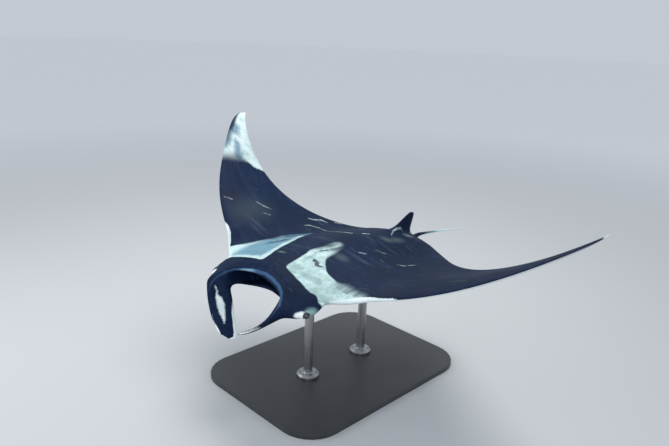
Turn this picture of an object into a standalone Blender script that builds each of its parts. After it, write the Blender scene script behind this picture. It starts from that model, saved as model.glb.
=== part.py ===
"""A reef manta ray as a life-size display model, held over a flat base by two rods.

The flat body is drawn once, in disc widths, as a cage of four-sided faces for both sides of the
animal: +X is its left, -Y its front and +Z its back. The cage is rounded, parted into named
lengths by thin cuts, and only then are the wings raised, each along its own curve.
"""
import math

import bmesh
import bpy
import numpy as np
from mathutils import Matrix, Vector

# Driving sizes, in metres
DISC_WIDTH = 3.5        # wing tip to wing tip, laid flat
GAP = 0.0003            # left between neighbouring solids
BELLY_HEIGHT = 0.62     # underside of the trunk over the floor
BASE_LENGTH = 1.50      # stand base, front to rear
BASE_WIDTH = 1.10
BASE_THICKNESS = 0.030
BASE_CORNER = 0.22
BASE_BEVEL = 0.006
CORNER_STEPS = 7
ROD_RADIUS = 0.030
ROD_REACH = 0.085       # how far a rod goes up into the trunk
COLLAR_RADIUS = 0.075
COLLAR_HEIGHT = 0.028
ROD_SIDES = 28
EYE_RADIUS = 0.021

# Everything below here down to the stand is in disc widths
ROD_PLACES = {"front": 0.155, "rear": 0.300}
COLUMNS = (0.0, 0.010, 0.032, 0.052, 0.070, 0.112, 0.150, 0.200, 0.255, 0.310, 0.365, 0.415,
           0.455, 0.483, 0.5040)
ROWS = (0.05, 0.15, 0.30, 0.48, 0.66, 0.80, 0.89, 0.955, 1.0)  # parts of the chord
MOUTH_COLUMN = 4
HEAD_COLUMN = 5
TIP_COLUMN = 14
LAST_ROW = 10
FIN_ROW = 7             # the dorsal fin stands over two rows from here
HEAD_FRONT = 0.062      # where the wing rows begin on the head
LEADING_EDGE = ((0.12, 0.057), (0.17, 0.088), (0.22, 0.105), (0.28, 0.124), (0.34, 0.158),
                (0.40, 0.201), (0.45, 0.241), (0.48, 0.270), (0.504, 0.308))
TRAILING_EDGE = ((0.0, 0.447), (0.02, 0.445), (0.06, 0.434), (0.12, 0.402), (0.18, 0.352),
                 (0.24, 0.308), (0.30, 0.276), (0.36, 0.267), (0.42, 0.274), (0.46, 0.291),
                 (0.485, 0.306), (0.504, 0.323))
TRUNK_TOP = ((0.0, 0.80), (0.10, 0.93), (0.25, 1.0), (0.45, 0.98), (0.65, 0.84), (0.82, 0.61),
             (0.95, 0.36), (1.0, 0.20))
TRUNK_UNDER = ((0.0, 0.36), (0.10, 0.58), (0.25, 0.90), (0.40, 1.0), (0.60, 0.82), (0.82, 0.42),
               (0.95, 0.16), (1.0, 0.08))
MOUTH_CORNER = (0.0680, 0.0200, -0.0010)
SIDE_POINTS = ((0.1160, 0.0160, -0.0040), (0.1440, 0.0510, -0.0010), (0.1265, 0.0645, 0.0120))
RIGHT_REACH = 0.008             # the right wing is swept further forward at its root
EYE_PLACE = (0.1200, 0.0335, -0.0035)

# Mouth, from the lips inward: width against the lips', depth, fall of the roof and of the floor
# from the lips, and the side wall's bulge
MOUTH_STEPS = ((0.94, 0.0, 0.0085, 0.0, 0.0035), (0.93, 0.032, 0.0030, 0.0040, 0.0045),
               (0.84, 0.056, 0.0020, 0.0020, 0.0040), (0.64, 0.078, 0.0060, -0.0010, 0.0020))

# Cephalic fin: points along its middle line, half width and half thickness at each
FIN_LINE = (((0.0803, 0.0120, -0.0094), 0.0265, 0.0115),
            ((0.0728, 0.0089, -0.0207), 0.0285, 0.0080), ((0.0635, 0.0038, -0.0335), 0.0290, 0.0052),
            ((0.0500, -0.0015, -0.0480), 0.0290, 0.0036), ((0.0330, -0.0085, -0.0620), 0.0265, 0.0030),
            ((0.0115, -0.0150, -0.0742), 0.0200, 0.0022))
FIN_SWAY = (0.0025, 0.0060)         # both swing to the animal's right, its left one up
FIN_ACROSS = (0.69, -0.565, 0.45)   # from its rear edge to its front edge
FIN_TIP_SHORT = (0.001, 0.013)      # the tip's front and rear corners fall short of its middle
FIN_CUT = 0.55                      # the cut's place along the line, in points

# Tail: place along the body, height and radius
TAIL_LINE = ((0.462, 0.0090, 0.0070), (0.482, 0.0076, 0.0046), (0.512, 0.0055, 0.0033),
             (0.548, 0.0010, 0.0026), (0.586, -0.0040, 0.0022), (0.618, -0.0080, 0.0017),
             (0.640, -0.0110, 0.0010))
# Dorsal fin, from its foot up: front and rear edge, height over the back, half thickness
DORSAL_STEPS = ((0.390, 0.4330, 0.0085, 0.0046), (0.405, 0.4380, 0.0170, 0.0034),
                (0.420, 0.4420, 0.0250, 0.0024), (0.432, 0.4440, 0.0300, 0.0014))
# Pelvic fin, going back: place, height, half thickness, inner and outer edge
PELVIC_STEPS = ((0.444, -0.0065, 0.0030, 0.014, 0.034), (0.458, -0.0080, 0.0024, 0.017, 0.036),
                (0.472, -0.0090, 0.0012, 0.021, 0.033))

# Where the flat body is cut
HEAD_CUT = ((0.122, 0.105), (0.1275, 0.0650), (0.1450, 0.0610))   # rear corner, notch, clear of it
WING_CUTS = (0.192, 0.340)
TAIL_CUTS = (0.4500, 0.535)
DORSAL_CUT = (0.0, 0.408, 0.0410)
DORSAL_CUT_LEAN = 0.2356        # radians, level to the slope of the back

# How the wings rise: angle along the wing as a cubic, then the lean and the sweep of the bend
BEND_START = 0.07
BEND_STEPS = 120
BEND_PIVOT = 0.20
WING_REACH = 0.506              # the bend is worked out this far along the wing
LEFT_BEND = ((1.14, -0.66, 0.10), 0.049, 0.247)
RIGHT_BEND = ((2.02, 0.06, -1.82), -0.076, 0.010)
STIFF_SIDE = (0.124, 0.190)     # no bend inside the first, full bend outside the second
STIFF_REAR = (0.106, 0.160)

SKIN_LEVELS = 1


def curve(points, at):
    """Read a smooth curve through a few points, with no overshoot between them."""
    xs = np.array([p[0] for p in points])
    ys = np.array([p[1] for p in points])
    slopes = np.diff(ys) / np.diff(xs)
    tangents = np.empty(len(xs))
    tangents[0], tangents[-1] = slopes[0], slopes[-1]
    for k in range(1, len(xs) - 1):
        a, b = slopes[k - 1], slopes[k]
        tangents[k] = 0.0 if a * b <= 0 else 2 * a * b / (a + b)
    at = min(max(at, xs[0]), xs[-1])
    k = min(int(np.searchsorted(xs, at, side="right")) - 1, len(xs) - 2)
    h = xs[k + 1] - xs[k]
    t = (at - xs[k]) / h
    return ((2 * t**3 - 3 * t**2 + 1) * ys[k] + (t**3 - 2 * t**2 + t) * h * tangents[k]
            + (3 * t**2 - 2 * t**3) * ys[k + 1] + (t**3 - t**2) * h * tangents[k + 1])


def smooth_step(low, high, x):
    t = np.clip((x - low) / (high - low), 0.0, 1.0)
    return t * t * (3 - 2 * t)


def chord(x, part):
    front = curve(LEADING_EDGE, x) if x > LEADING_EDGE[0][0] else HEAD_FRONT
    return front + part * (curve(TRAILING_EDGE, x) - front)


def wing_section(part):
    """Half thickness of a fin section, 1 at its thickest."""
    p = max(part, 0.0)
    full = 2 * (1.4845 * math.sqrt(p) - 0.63 * p - 1.758 * p**2 + 1.4215 * p**3 - 0.5075 * p**4)
    return full * (1 - 0.4 * float(smooth_step(0.35, 0.9, p)))


def height(sheet, x, part):
    """Height of the back or the belly over the flat middle plane."""
    trunk = 1 - float(smooth_step(0.05, 0.165, x))
    span = max(1 - x / 0.5, 0.0)**0.85
    middle = 0.011 * (1 - smooth_step(0.12, 0.5, x)) - 0.007 * trunk
    if sheet == "back":
        thick = 0.030 * math.exp(-(x / 0.100)**2) + 0.0175 * span + 0.0012
        shape = trunk * curve(TRUNK_TOP, part) + (1 - trunk) * wing_section(part)
        return middle + thick * shape
    thick = 0.033 * math.exp(-(x / 0.100)**2) + 0.0135 * span + 0.0012
    fair = 0.35 + 0.65 * float(smooth_step(0.0, 0.30, part))
    shape = trunk * curve(TRUNK_UNDER, part) + (1 - trunk) * wing_section(part) * fair
    return middle - thick * shape


def upper_lip(x):
    t = x / 0.11
    return (x, 0.031 - 0.019 * t**2, 0.0325 - 0.028 * t**2 - 0.006 * t**4)


def lower_lip(x):
    return (x, 0.057 - 0.018 * (x / 0.09)**2, -0.016 * (1 - math.exp(-(x / 0.056)**2)))


def sheet_point(sheet, column, row):
    """A cage point of the back or the belly, rows counted from the lip to the rear edge."""
    x = COLUMNS[column]
    if row >= 2:
        part = ROWS[row - 2]
        return (x, chord(x, part), height(sheet, x, part))
    behind = (x, chord(x, ROWS[0]), height(sheet, x, ROWS[0]))
    if sheet == "back":
        lip = upper_lip(x)
        bulge = 0.0045
    else:
        lip = lower_lip(x)
        lip = (x, lip[1] - 0.001, lip[2] - 0.0070 * (1 - (x / 0.125)**2))
        bulge = -0.0015
    if row == 0:
        return lip
    return (x, 0.5 * (lip[1] + behind[1]), 0.5 * (lip[2] + behind[2]) + bulge)


def edge_point(kind, index):
    """A cage point that the back and the belly share."""
    x = COLUMNS[index]
    if kind == "front":
        return (x, curve(LEADING_EDGE, x), 0.011 * (1 - smooth_step(0.12, 0.5, x)))
    return (x, curve(TRAILING_EDGE, x), 0.004 * (1 - smooth_step(0.05, 0.165, x)))


def inner_point(kind, column, depth):
    """A cage point inside the mouth: its roof, its floor or its side wall."""
    narrow, back, roof_drop, floor_drop, bulge = MOUTH_STEPS[depth]
    x = COLUMNS[column] * narrow
    lip = upper_lip(COLUMNS[column])
    jaw = lower_lip(COLUMNS[column])
    roof = (x, lip[1] + 0.0010 + back, lip[2] - roof_drop)
    floor = (x, jaw[1] + 0.0020 + back * 0.62, jaw[2] - floor_drop)
    if kind == "roof":
        return roof
    if kind == "floor":
        return floor
    return (x + bulge, 0.5 * (roof[1] + floor[1]), 0.5 * (roof[2] + floor[2]))


class Cage:
    """Four-sided faces between points that are known by name and by side of the animal."""

    def __init__(self):
        self.mesh = bmesh.new()
        self.points = {}

    def point(self, side, name, place):
        if place[0] == 0.0:
            side = 1
        key = (side, name)
        if key not in self.points:
            x, y, z = place
            self.points[key] = self.mesh.verts.new((side * x, y, z))
        return self.points[key]

    def face(self, side, corners):
        corners = [c for k, c in enumerate(corners) if c not in corners[:k]]
        self.mesh.faces.new(corners if side > 0 else corners[::-1])


def body_point(cage, side, sheet, column, row):
    if row == LAST_ROW:
        if column == 0:
            lift = 0.0085 if sheet == "back" else -0.0070
            x, y, z = edge_point("rear", 0)
            return cage.point(side, ("tail", sheet), (x, y, z + lift))
        return cage.point(side, ("rear", column), edge_point("rear", column))
    if column == TIP_COLUMN:
        top = sheet_point("back", column, row)
        low = sheet_point("belly", column, row)
        return cage.point(side, ("tip", row), (top[0], top[1], 0.5 * (top[2] + low[2])))
    return cage.point(side, (sheet, column, row), sheet_point(sheet, column, row))


def side_point(cage, side, index):
    x, y, z = SIDE_POINTS[index]
    if side < 0 and index == 2:
        y -= RIGHT_REACH
    return cage.point(side, ("side", index), (x, y, z))


def front_point(cage, side, column):
    if column == HEAD_COLUMN:
        return side_point(cage, side, 2)
    return cage.point(side, ("front", column), edge_point("front", column))


def add_sheet(cage, side, sheet):
    """The back or the belly of one side of the animal."""
    turn = side if sheet == "back" else -side
    for column in range(TIP_COLUMN):
        first = 0 if column < HEAD_COLUMN else 2
        for row in range(first, LAST_ROW):
            if sheet == "back" and column == 0 and FIN_ROW <= row < FIN_ROW + 2:
                continue
            if sheet == "belly" and column == 1 and row == FIN_ROW + 1:
                continue
            cage.face(turn, [body_point(cage, side, sheet, column, row),
                             body_point(cage, side, sheet, column + 1, row),
                             body_point(cage, side, sheet, column + 1, row + 1),
                             body_point(cage, side, sheet, column, row + 1)])
    for column in range(HEAD_COLUMN, TIP_COLUMN):
        cage.face(turn, [front_point(cage, side, column), front_point(cage, side, column + 1),
                         body_point(cage, side, sheet, column + 1, 2),
                         body_point(cage, side, sheet, column, 2)])
    for row in range(2):
        cage.face(turn, [body_point(cage, side, sheet, HEAD_COLUMN, row),
                         side_point(cage, side, row), side_point(cage, side, row + 1),
                         body_point(cage, side, sheet, HEAD_COLUMN, row + 1)])


def join_rings(cage, side, ring, following):
    for k in range(len(ring)):
        n = (k + 1) % len(ring)
        cage.face(side, [ring[k], ring[n], following[n], following[k]])


def fin_sway(side, step):
    swing = side * (0.4 + 0.25 * step)
    return Vector((-FIN_SWAY[0] * swing, 0.0, FIN_SWAY[1] * swing))


def fin_ring(cage, side, step):
    """Six points round the cephalic fin: front edge, outer face, rear edge, inner face."""
    place, half_width, half_thick = FIN_LINE[step]
    after = Vector(FIN_LINE[min(step + 1, len(FIN_LINE) - 1)][0])
    before = Vector(FIN_LINE[max(step - 1, 0)][0])
    across = Vector(FIN_ACROSS).normalized()
    along = (after - before).normalized()
    out = across.cross(along).normalized()
    corners = ((-0.7, 0.94), (0.7, 0.94), (1.15, 0.0), (0.7, -0.94), (-0.7, -0.94), (-0.9, 0.0))
    sway = fin_sway(side, step)
    ring = []
    for k, (thick, wide) in enumerate(corners):
        p = Vector(place) + sway + out * (thick * half_thick) + across * (wide * half_width)
        if step == len(FIN_LINE) - 1 and wide:
            p -= along * FIN_TIP_SHORT[0 if wide > 0 else 1]
        ring.append(cage.point(side, ("fin", step, k), tuple(p)))
    return ring


def add_cephalic_fin(cage, side):
    mouth, head = MOUTH_COLUMN, HEAD_COLUMN
    ring = [body_point(cage, side, "back", mouth, 0), body_point(cage, side, "back", head, 0),
            side_point(cage, side, 0), body_point(cage, side, "belly", head, 0),
            body_point(cage, side, "belly", mouth, 0),
            cage.point(side, ("corner",), MOUTH_CORNER)]
    for step in range(len(FIN_LINE)):
        following = fin_ring(cage, side, step)
        join_rings(cage, -side, ring, following)
        ring = following
    cage.face(-side, [ring[0], ring[1], ring[2], ring[5]])
    cage.face(-side, [ring[5], ring[2], ring[3], ring[4]])


def mouth_line(cage, side, depth):
    """Roof points from the middle out, the side wall, then the floor back to the middle."""
    columns = range(MOUTH_COLUMN + 1)
    if depth < 0:
        roof = [body_point(cage, side, "back", c, 0) for c in columns]
        floor = [body_point(cage, side, "belly", c, 0) for c in columns]
        wall = cage.point(side, ("corner",), MOUTH_CORNER)
    else:
        roof = [cage.point(side, ("roof", c, depth), inner_point("roof", c, depth))
                for c in columns]
        floor = [cage.point(side, ("floor", c, depth), inner_point("floor", c, depth))
                 for c in columns]
        wall = cage.point(side, ("wall", depth), inner_point("wall", MOUTH_COLUMN, depth))
    return roof + [wall] + floor[::-1]


def add_mouth(cage, side):
    line = mouth_line(cage, side, -1)
    for depth in range(len(MOUTH_STEPS)):
        following = mouth_line(cage, side, depth)
        for k in range(len(line) - 1):
            cage.face(-side, [line[k], line[k + 1], following[k + 1], following[k]])
        line = following
    last = len(line) - 1
    for k in range(MOUTH_COLUMN - 1):
        cage.face(-side, [line[k], line[k + 1], line[last - k - 1], line[last - k]])
    k = MOUTH_COLUMN - 1
    cage.face(-side, [line[k], line[k + 1], line[k + 2], line[k + 3], line[k + 4]])


def add_tail(cage):
    ring = [body_point(cage, 1, "back", 0, LAST_ROW), body_point(cage, 1, "back", 1, LAST_ROW),
            body_point(cage, 1, "belly", 0, LAST_ROW), body_point(cage, -1, "back", 1, LAST_ROW)]
    for step, (y, z, r) in enumerate(TAIL_LINE):
        following = [cage.point(1, ("whip", step, 0), (0.0, y, z + r)),
                     cage.point(1, ("whip", step, 1), (r, y, z)),
                     cage.point(1, ("whip", step, 2), (0.0, y, z - r)),
                     cage.point(-1, ("whip", step, 1), (r, y, z))]
        join_rings(cage, 1, ring, following)
        ring = following
    cage.face(1, ring)


def add_dorsal_fin(cage):
    """Drawn up from the four faces of the back that were left open."""
    def ring_of(make):
        return [make(1, 0, 0), make(1, 1, 0), make(1, 1, 1), make(1, 1, 2),
                make(1, 0, 2), make(-1, 1, 2), make(-1, 1, 1), make(-1, 1, 0)]

    ring = ring_of(lambda side, c, r: body_point(cage, side, "back", c, FIN_ROW + r))
    cage.mesh.verts.remove(body_point(cage, 1, "back", 0, FIN_ROW + 1))
    foot = sheet_point("back", 0, FIN_ROW)[2]
    for step, (front, rear, lift, half) in enumerate(DORSAL_STEPS):
        def make(side, c, r, step=step, front=front, rear=rear, lift=lift, half=half):
            along = r / 2
            thick = half * (1.0 if r == 1 else 0.55) * c
            z = foot + lift - 0.014 * along * (1 - step / len(DORSAL_STEPS))
            return cage.point(side, ("dorsal", step, c, r), (thick, front + along * (rear - front), z))
        following = ring_of(make)
        join_rings(cage, -1, ring, following)
        ring = following
    cage.face(-1, [ring[0], ring[1], ring[2], ring[6], ring[7]])
    cage.face(-1, [ring[2], ring[3], ring[4], ring[5], ring[6]])


def add_pelvic_fin(cage, side):
    near, far = FIN_ROW + 1, FIN_ROW + 2
    ring = [body_point(cage, side, "belly", 1, near), body_point(cage, side, "belly", 2, near),
            body_point(cage, side, "belly", 2, far), body_point(cage, side, "belly", 1, far)]
    for step, (y, z, half, inner, outer) in enumerate(PELVIC_STEPS):
        corners = ((inner, z - half), (outer, z - half), (outer, z + half), (inner, z + half))
        following = [cage.point(side, ("pelvic", step, k), (x, y, level))
                     for k, (x, level) in enumerate(corners)]
        join_rings(cage, side, ring, following)
        ring = following
    cage.face(side, ring)


def make_cage():
    cage = Cage()
    for side in (1, -1):
        for sheet in ("back", "belly"):
            add_sheet(cage, side, sheet)
        add_mouth(cage, side)
        add_cephalic_fin(cage, side)
        add_pelvic_fin(cage, side)
    add_tail(cage)
    add_dorsal_fin(cage)
    bmesh.ops.recalc_face_normals(cage.mesh, faces=cage.mesh.faces)
    return cage.mesh


def turn_matrix(w):
    """Rotation by the vector w: its length is the angle."""
    angle = float(np.linalg.norm(w))
    if angle < 1e-9:
        return np.eye(3)
    x, y, z = np.asarray(w) / angle
    k = np.array([[0, -z, y], [z, 0, -x], [-y, x, 0]])
    return np.eye(3) + math.sin(angle) * k + (1 - math.cos(angle)) * (k @ k)


def wing_chain(bend):
    """Place and turn of each section along a wing that rises step by step."""
    (r1, r2, r3), lean, sweep = bend
    reach = np.linspace(0, WING_REACH, BEND_STEPS + 1)
    part = np.clip((reach - BEND_START) / (WING_REACH - BEND_START), 0, 1)
    step = reach[1]
    places = np.zeros((BEND_STEPS + 1, 3))
    turns = np.zeros((BEND_STEPS + 1, 3, 3))
    turns[0] = np.eye(3)
    for k in range(1, BEND_STEPS + 1):
        t = 0.5 * (part[k] + part[k - 1])
        dt = part[k] - part[k - 1]
        rise = (r1 + 2 * r2 * t + 3 * r3 * t**2) * dt
        turn = turn_matrix((rise * math.sin(lean), -rise * math.cos(lean), sweep * dt))
        turns[k] = turns[k - 1] @ turn
        places[k] = places[k - 1] + 0.5 * step * (turns[k][:, 0] + turns[k - 1][:, 0])
    return places, turns


def raise_wings(flat):
    """Carry points of the flat body, in disc widths, to where the raised wings have them."""
    raised = flat.copy()
    for side, bend in ((1, LEFT_BEND), (-1, RIGHT_BEND)):
        pick = flat[:, 0] * side > BEND_START
        x = flat[pick, 0] * side
        places, turns = wing_chain(bend)
        along = np.clip(x / WING_REACH * BEND_STEPS, 0, BEND_STEPS - 1e-9)
        k = along.astype(int)
        t = (along - k)[:, None]
        local = np.stack([np.zeros_like(x), flat[pick, 1] - BEND_PIVOT, flat[pick, 2]], axis=1)
        near = places[k] + np.einsum("nij,nj->ni", turns[k], local)
        far = places[k + 1] + np.einsum("nij,nj->ni", turns[k + 1], local)
        bent = near * (1 - t) + far * t
        bent[:, 1] += BEND_PIVOT
        bent[:, 0] *= side
        free_side = smooth_step(STIFF_SIDE[0], STIFF_SIDE[1], x)
        free_rear = smooth_step(STIFF_REAR[0], STIFF_REAR[1], flat[pick, 1])
        free = (1 - (1 - free_side) * (1 - free_rear))[:, None]
        raised[pick] = flat[pick] * (1 - free) + bent * free
    return raised


def scaled(place):
    return Vector(place) * DISC_WIDTH


def new_object(name, mesh, material=None):
    body = bpy.data.objects.new(name, mesh)
    bpy.context.collection.objects.link(body)
    if material:
        mesh.materials.append(material)
    return body


def from_bmesh(name, shape, material=None):
    mesh = bpy.data.meshes.new(name)
    shape.to_mesh(mesh)
    shape.free()
    return new_object(name, mesh, material)


def finished_mesh(body):
    """The mesh with its modifiers worked out; the object that carried them goes."""
    seen = body.evaluated_get(bpy.context.evaluated_depsgraph_get())
    mesh = bpy.data.meshes.new_from_object(seen)
    bpy.data.objects.remove(body)
    return mesh


def box_cutter(place, axes, half_sizes):
    shape = bmesh.new()
    bmesh.ops.create_cube(shape, size=2.0)
    frame = Matrix(axes).transposed().to_4x4()
    frame.translation = scaled(place)
    size = Matrix.Diagonal((*half_sizes, 1.0))
    bmesh.ops.transform(shape, matrix=frame @ size, verts=shape.verts)
    bmesh.ops.recalc_face_normals(shape, faces=shape.faces)
    return from_bmesh("cutter", shape)


def wall_cutter(path, low, high):
    """A thin upright wall along a path over the ground."""
    points = [Vector((x, y, 0)) * DISC_WIDTH for x, y in path]
    sides = []
    for k, point in enumerate(points):
        along = [(points[n + 1] - points[n]).normalized() for n in (k - 1, k)
                 if 0 <= n < len(points) - 1]
        mean = sum(along, Vector()).normalized()
        reach = 0.5 * GAP / mean.dot(along[0])
        sides.append(Vector((-mean.y, mean.x, 0)) * reach)
    outline = [p + s for p, s in zip(points, sides)]
    outline += [p - s for p, s in zip(points[::-1], sides[::-1])]
    shape = bmesh.new()
    floor = [shape.verts.new((p.x, p.y, low * DISC_WIDTH)) for p in outline]
    roof = [shape.verts.new((p.x, p.y, high * DISC_WIDTH)) for p in outline]
    last = len(outline) - 1
    for k in range(len(points) - 1):
        for level in (floor, roof):
            shape.faces.new([level[k], level[k + 1], level[last - k - 1], level[last - k]])
    for k in range(last + 1):
        n = (k + 1) % (last + 1)
        shape.faces.new([floor[k], floor[n], roof[n], roof[k]])
    bmesh.ops.recalc_face_normals(shape, faces=shape.faces)
    return from_bmesh("cutter", shape)


def cross_cutter(axis, at, half_reach, centre):
    """A thin plate across the body, square to X or to Y."""
    place = [at, centre, 0.0] if axis == 0 else [centre, at, 0.0]
    half = [half_reach * DISC_WIDTH] * 3
    half[axis] = 0.5 * GAP
    return box_cutter(place, ((1, 0, 0), (0, 1, 0), (0, 0, 1)), half)


def cephalic_cutter(side):
    step = int(FIN_CUT)
    share = FIN_CUT - step
    place = Vector(FIN_LINE[step][0]).lerp(Vector(FIN_LINE[step + 1][0]), share)
    place += fin_sway(side, FIN_CUT)
    along = (Vector(FIN_LINE[step + 1][0]) - Vector(FIN_LINE[step][0])).normalized()
    across = Vector(FIN_ACROSS).normalized()
    across = (across - along * across.dot(along)).normalized()
    axes = [across, along.cross(across), along]
    mirror = Vector((side, 1, 1))
    axes = [a * mirror for a in axes]
    half = (0.036 * DISC_WIDTH, 0.016 * DISC_WIDTH, 0.5 * GAP)
    return box_cutter(place * mirror, axes, half)


def dorsal_cutter():
    rise, run = math.sin(DORSAL_CUT_LEAN), math.cos(DORSAL_CUT_LEAN)
    axes = ((1, 0, 0), (0, run, -rise), (0, rise, run))
    return box_cutter(DORSAL_CUT, axes, (0.02 * DISC_WIDTH, 0.05 * DISC_WIDTH, 0.5 * GAP))


def ball(radius, place):
    shape = bmesh.new()
    bmesh.ops.create_uvsphere(shape, u_segments=16, v_segments=9, radius=radius)
    turn = Matrix.Rotation(math.radians(90), 4, "Y")
    bmesh.ops.transform(shape, matrix=Matrix.Translation(place) @ turn, verts=shape.verts)
    return shape


def eye_place(side):
    return scaled(EYE_PLACE) * Vector((side, 1, 1))


def rod_top():
    return height("belly", 0.0, 0.3) * DISC_WIDTH + ROD_REACH


def rod_hole(y):
    shape = bmesh.new()
    bmesh.ops.create_cone(shape, cap_ends=True, segments=ROD_SIDES, radius1=ROD_RADIUS + GAP,
                          radius2=ROD_RADIUS + GAP, depth=1.0)
    top = rod_top() + GAP
    place = Vector((0.0, y * DISC_WIDTH, top - 0.5))
    bmesh.ops.translate(shape, vec=place, verts=shape.verts)
    return from_bmesh("cutter", shape)


def make_cutters():
    corner, notch, clear = HEAD_CUT
    right = [(-clear[0], clear[1]), (-notch[0], notch[1]), (-corner[0], corner[1])]
    cutters = [wall_cutter(right + [corner, notch, clear], -0.1, 0.1), dorsal_cutter()]
    for side in (1, -1):
        cutters.append(cephalic_cutter(side))
        cutters.append(from_bmesh("cutter", ball(EYE_RADIUS + GAP, eye_place(side))))
        cutters += [cross_cutter(0, side * at, 0.3, 0.25) for at in WING_CUTS]
    cutters += [cross_cutter(1, at, 0.055, 0.0) for at in TAIL_CUTS]
    cutters += [rod_hole(y) for y in ROD_PLACES.values()]
    return cutters


def part_body(whole):
    """Cut the rounded flat body and give back one mesh for each loose piece."""
    cutters = make_cutters()
    for cutter in cutters:
        cut = whole.modifiers.new("cut", "BOOLEAN")
        cut.operation = "DIFFERENCE"
        cut.solver = "EXACT"
        cut.object = cutter
    shape = bmesh.new()
    shape.from_mesh(finished_mesh(whole))
    for cutter in cutters:
        bpy.data.objects.remove(cutter)
    pieces = []
    left = set(shape.verts)
    while left:
        found = {left.pop()}
        edge = list(found)
        while edge:
            near = {e.other_vert(v) for v in edge for e in v.link_edges} - found
            found |= near
            edge = list(near)
        left -= found
        pieces.append(found)
    return shape, pieces


HEARTS = {"head": (0, 0.06, 0.0), "trunk": (0, 0.24, 0.0), "dorsal_fin": (0, 0.42, 0.055),
          "tail_base": (0, 0.485, 0.01), "tail_whip": (0, 0.59, -0.005)}
SIDE_HEARTS = {"cephalic_fin": (0.05, 0.0, -0.045), "wing_inner": (0.24, 0.21, 0.0),
               "wing_outer": (0.40, 0.24, 0.0), "pelvic_fin": (0.026, 0.462, -0.008)}


def name_of(place):
    """The named part whose middle is nearest to a loose piece's middle."""
    hearts = dict(HEARTS)
    for side, word in ((1, "left"), (-1, "right")):
        for name, (x, y, z) in SIDE_HEARTS.items():
            hearts[name + "_" + word] = (side * x, y, z)
    return min(hearts, key=lambda name: (Vector(hearts[name]) - place).length)


def make_material(name, colour, roughness, metallic=0.0):
    material = bpy.data.materials.new(name)
    material.use_nodes = True
    shader = material.node_tree.nodes["Principled BSDF"]
    shader.inputs["Base Color"].default_value = (*colour, 1.0)
    shader.inputs["Roughness"].default_value = roughness
    shader.inputs["Metallic"].default_value = metallic
    return material


def make_flesh():
    mesh = bpy.data.meshes.new("flat_body")
    cage = make_cage()
    bmesh.ops.scale(cage, vec=(DISC_WIDTH,) * 3, verts=cage.verts)
    cage.to_mesh(mesh)
    cage.free()
    whole = new_object("flat_body", mesh)
    rounding = whole.modifiers.new("rounding", "SUBSURF")
    rounding.levels = SKIN_LEVELS
    rounding.render_levels = SKIN_LEVELS
    shape, pieces = part_body(whole)
    bodies = []
    for found in pieces:
        order = sorted(found, key=lambda v: v.index)
        at = {v: k for k, v in enumerate(order)}
        flat = np.array([v.co for v in order]) / DISC_WIDTH
        name = name_of(Vector(flat.mean(axis=0)))
        faces = {f for v in order for f in v.link_faces}
        loops = [[at[v] for v in f.verts] for f in sorted(faces, key=lambda f: f.index)]
        piece = bpy.data.meshes.new(name)
        piece.from_pydata((raise_wings(flat) * DISC_WIDTH).tolist(), [], loops)
        piece.shade_smooth()
        colour = (0.32, 0.36, 0.38) if name.startswith("tail_whip") else (0.035, 0.042, 0.060)
        bodies.append(new_object(name, piece, make_material(name, colour, 0.45)))
    shape.free()
    return bodies


def make_eyes():
    eyes = []
    for side, word in ((1, "left"), (-1, "right")):
        material = make_material("eye_" + word, (0.01, 0.01, 0.012), 0.08)
        eye = from_bmesh("eye_" + word, ball(EYE_RADIUS, eye_place(side)), material)
        eye.data.shade_smooth()
        eyes.append(eye)
    return eyes


def make_base(floor, middle):
    """A flat plate with round corners and a softened upper rim."""
    shape = bmesh.new()
    outline = []
    for corner in range(4):
        turn = corner * math.pi / 2
        x = (BASE_WIDTH / 2 - BASE_CORNER) * (1 if corner in (0, 3) else -1)
        y = (BASE_LENGTH / 2 - BASE_CORNER) * (1 if corner in (0, 1) else -1)
        for k in range(CORNER_STEPS + 1):
            a = turn + k * math.pi / 2 / CORNER_STEPS
            outline.append((x + BASE_CORNER * math.cos(a), y + middle + BASE_CORNER * math.sin(a)))
    bottom = [shape.verts.new((x, y, floor)) for x, y in outline]
    face = shape.faces.new(bottom)
    grown = bmesh.ops.extrude_face_region(shape, geom=[face])
    top = [v for v in grown["geom"] if isinstance(v, bmesh.types.BMVert)]
    bmesh.ops.translate(shape, vec=(0, 0, BASE_THICKNESS), verts=top)
    rim = [e for e in shape.edges if e.verts[0] in top and e.verts[1] in top]
    bmesh.ops.bevel(shape, geom=rim, offset=BASE_BEVEL, segments=2, affect="EDGES", profile=0.5)
    bmesh.ops.recalc_face_normals(shape, faces=shape.faces)
    base = from_bmesh("stand_base", shape, make_material("stand_base", (0.06, 0.06, 0.065), 0.5))
    base.data.shade_smooth()
    base.data.set_sharp_from_angle(angle=math.radians(40))
    return base


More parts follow.
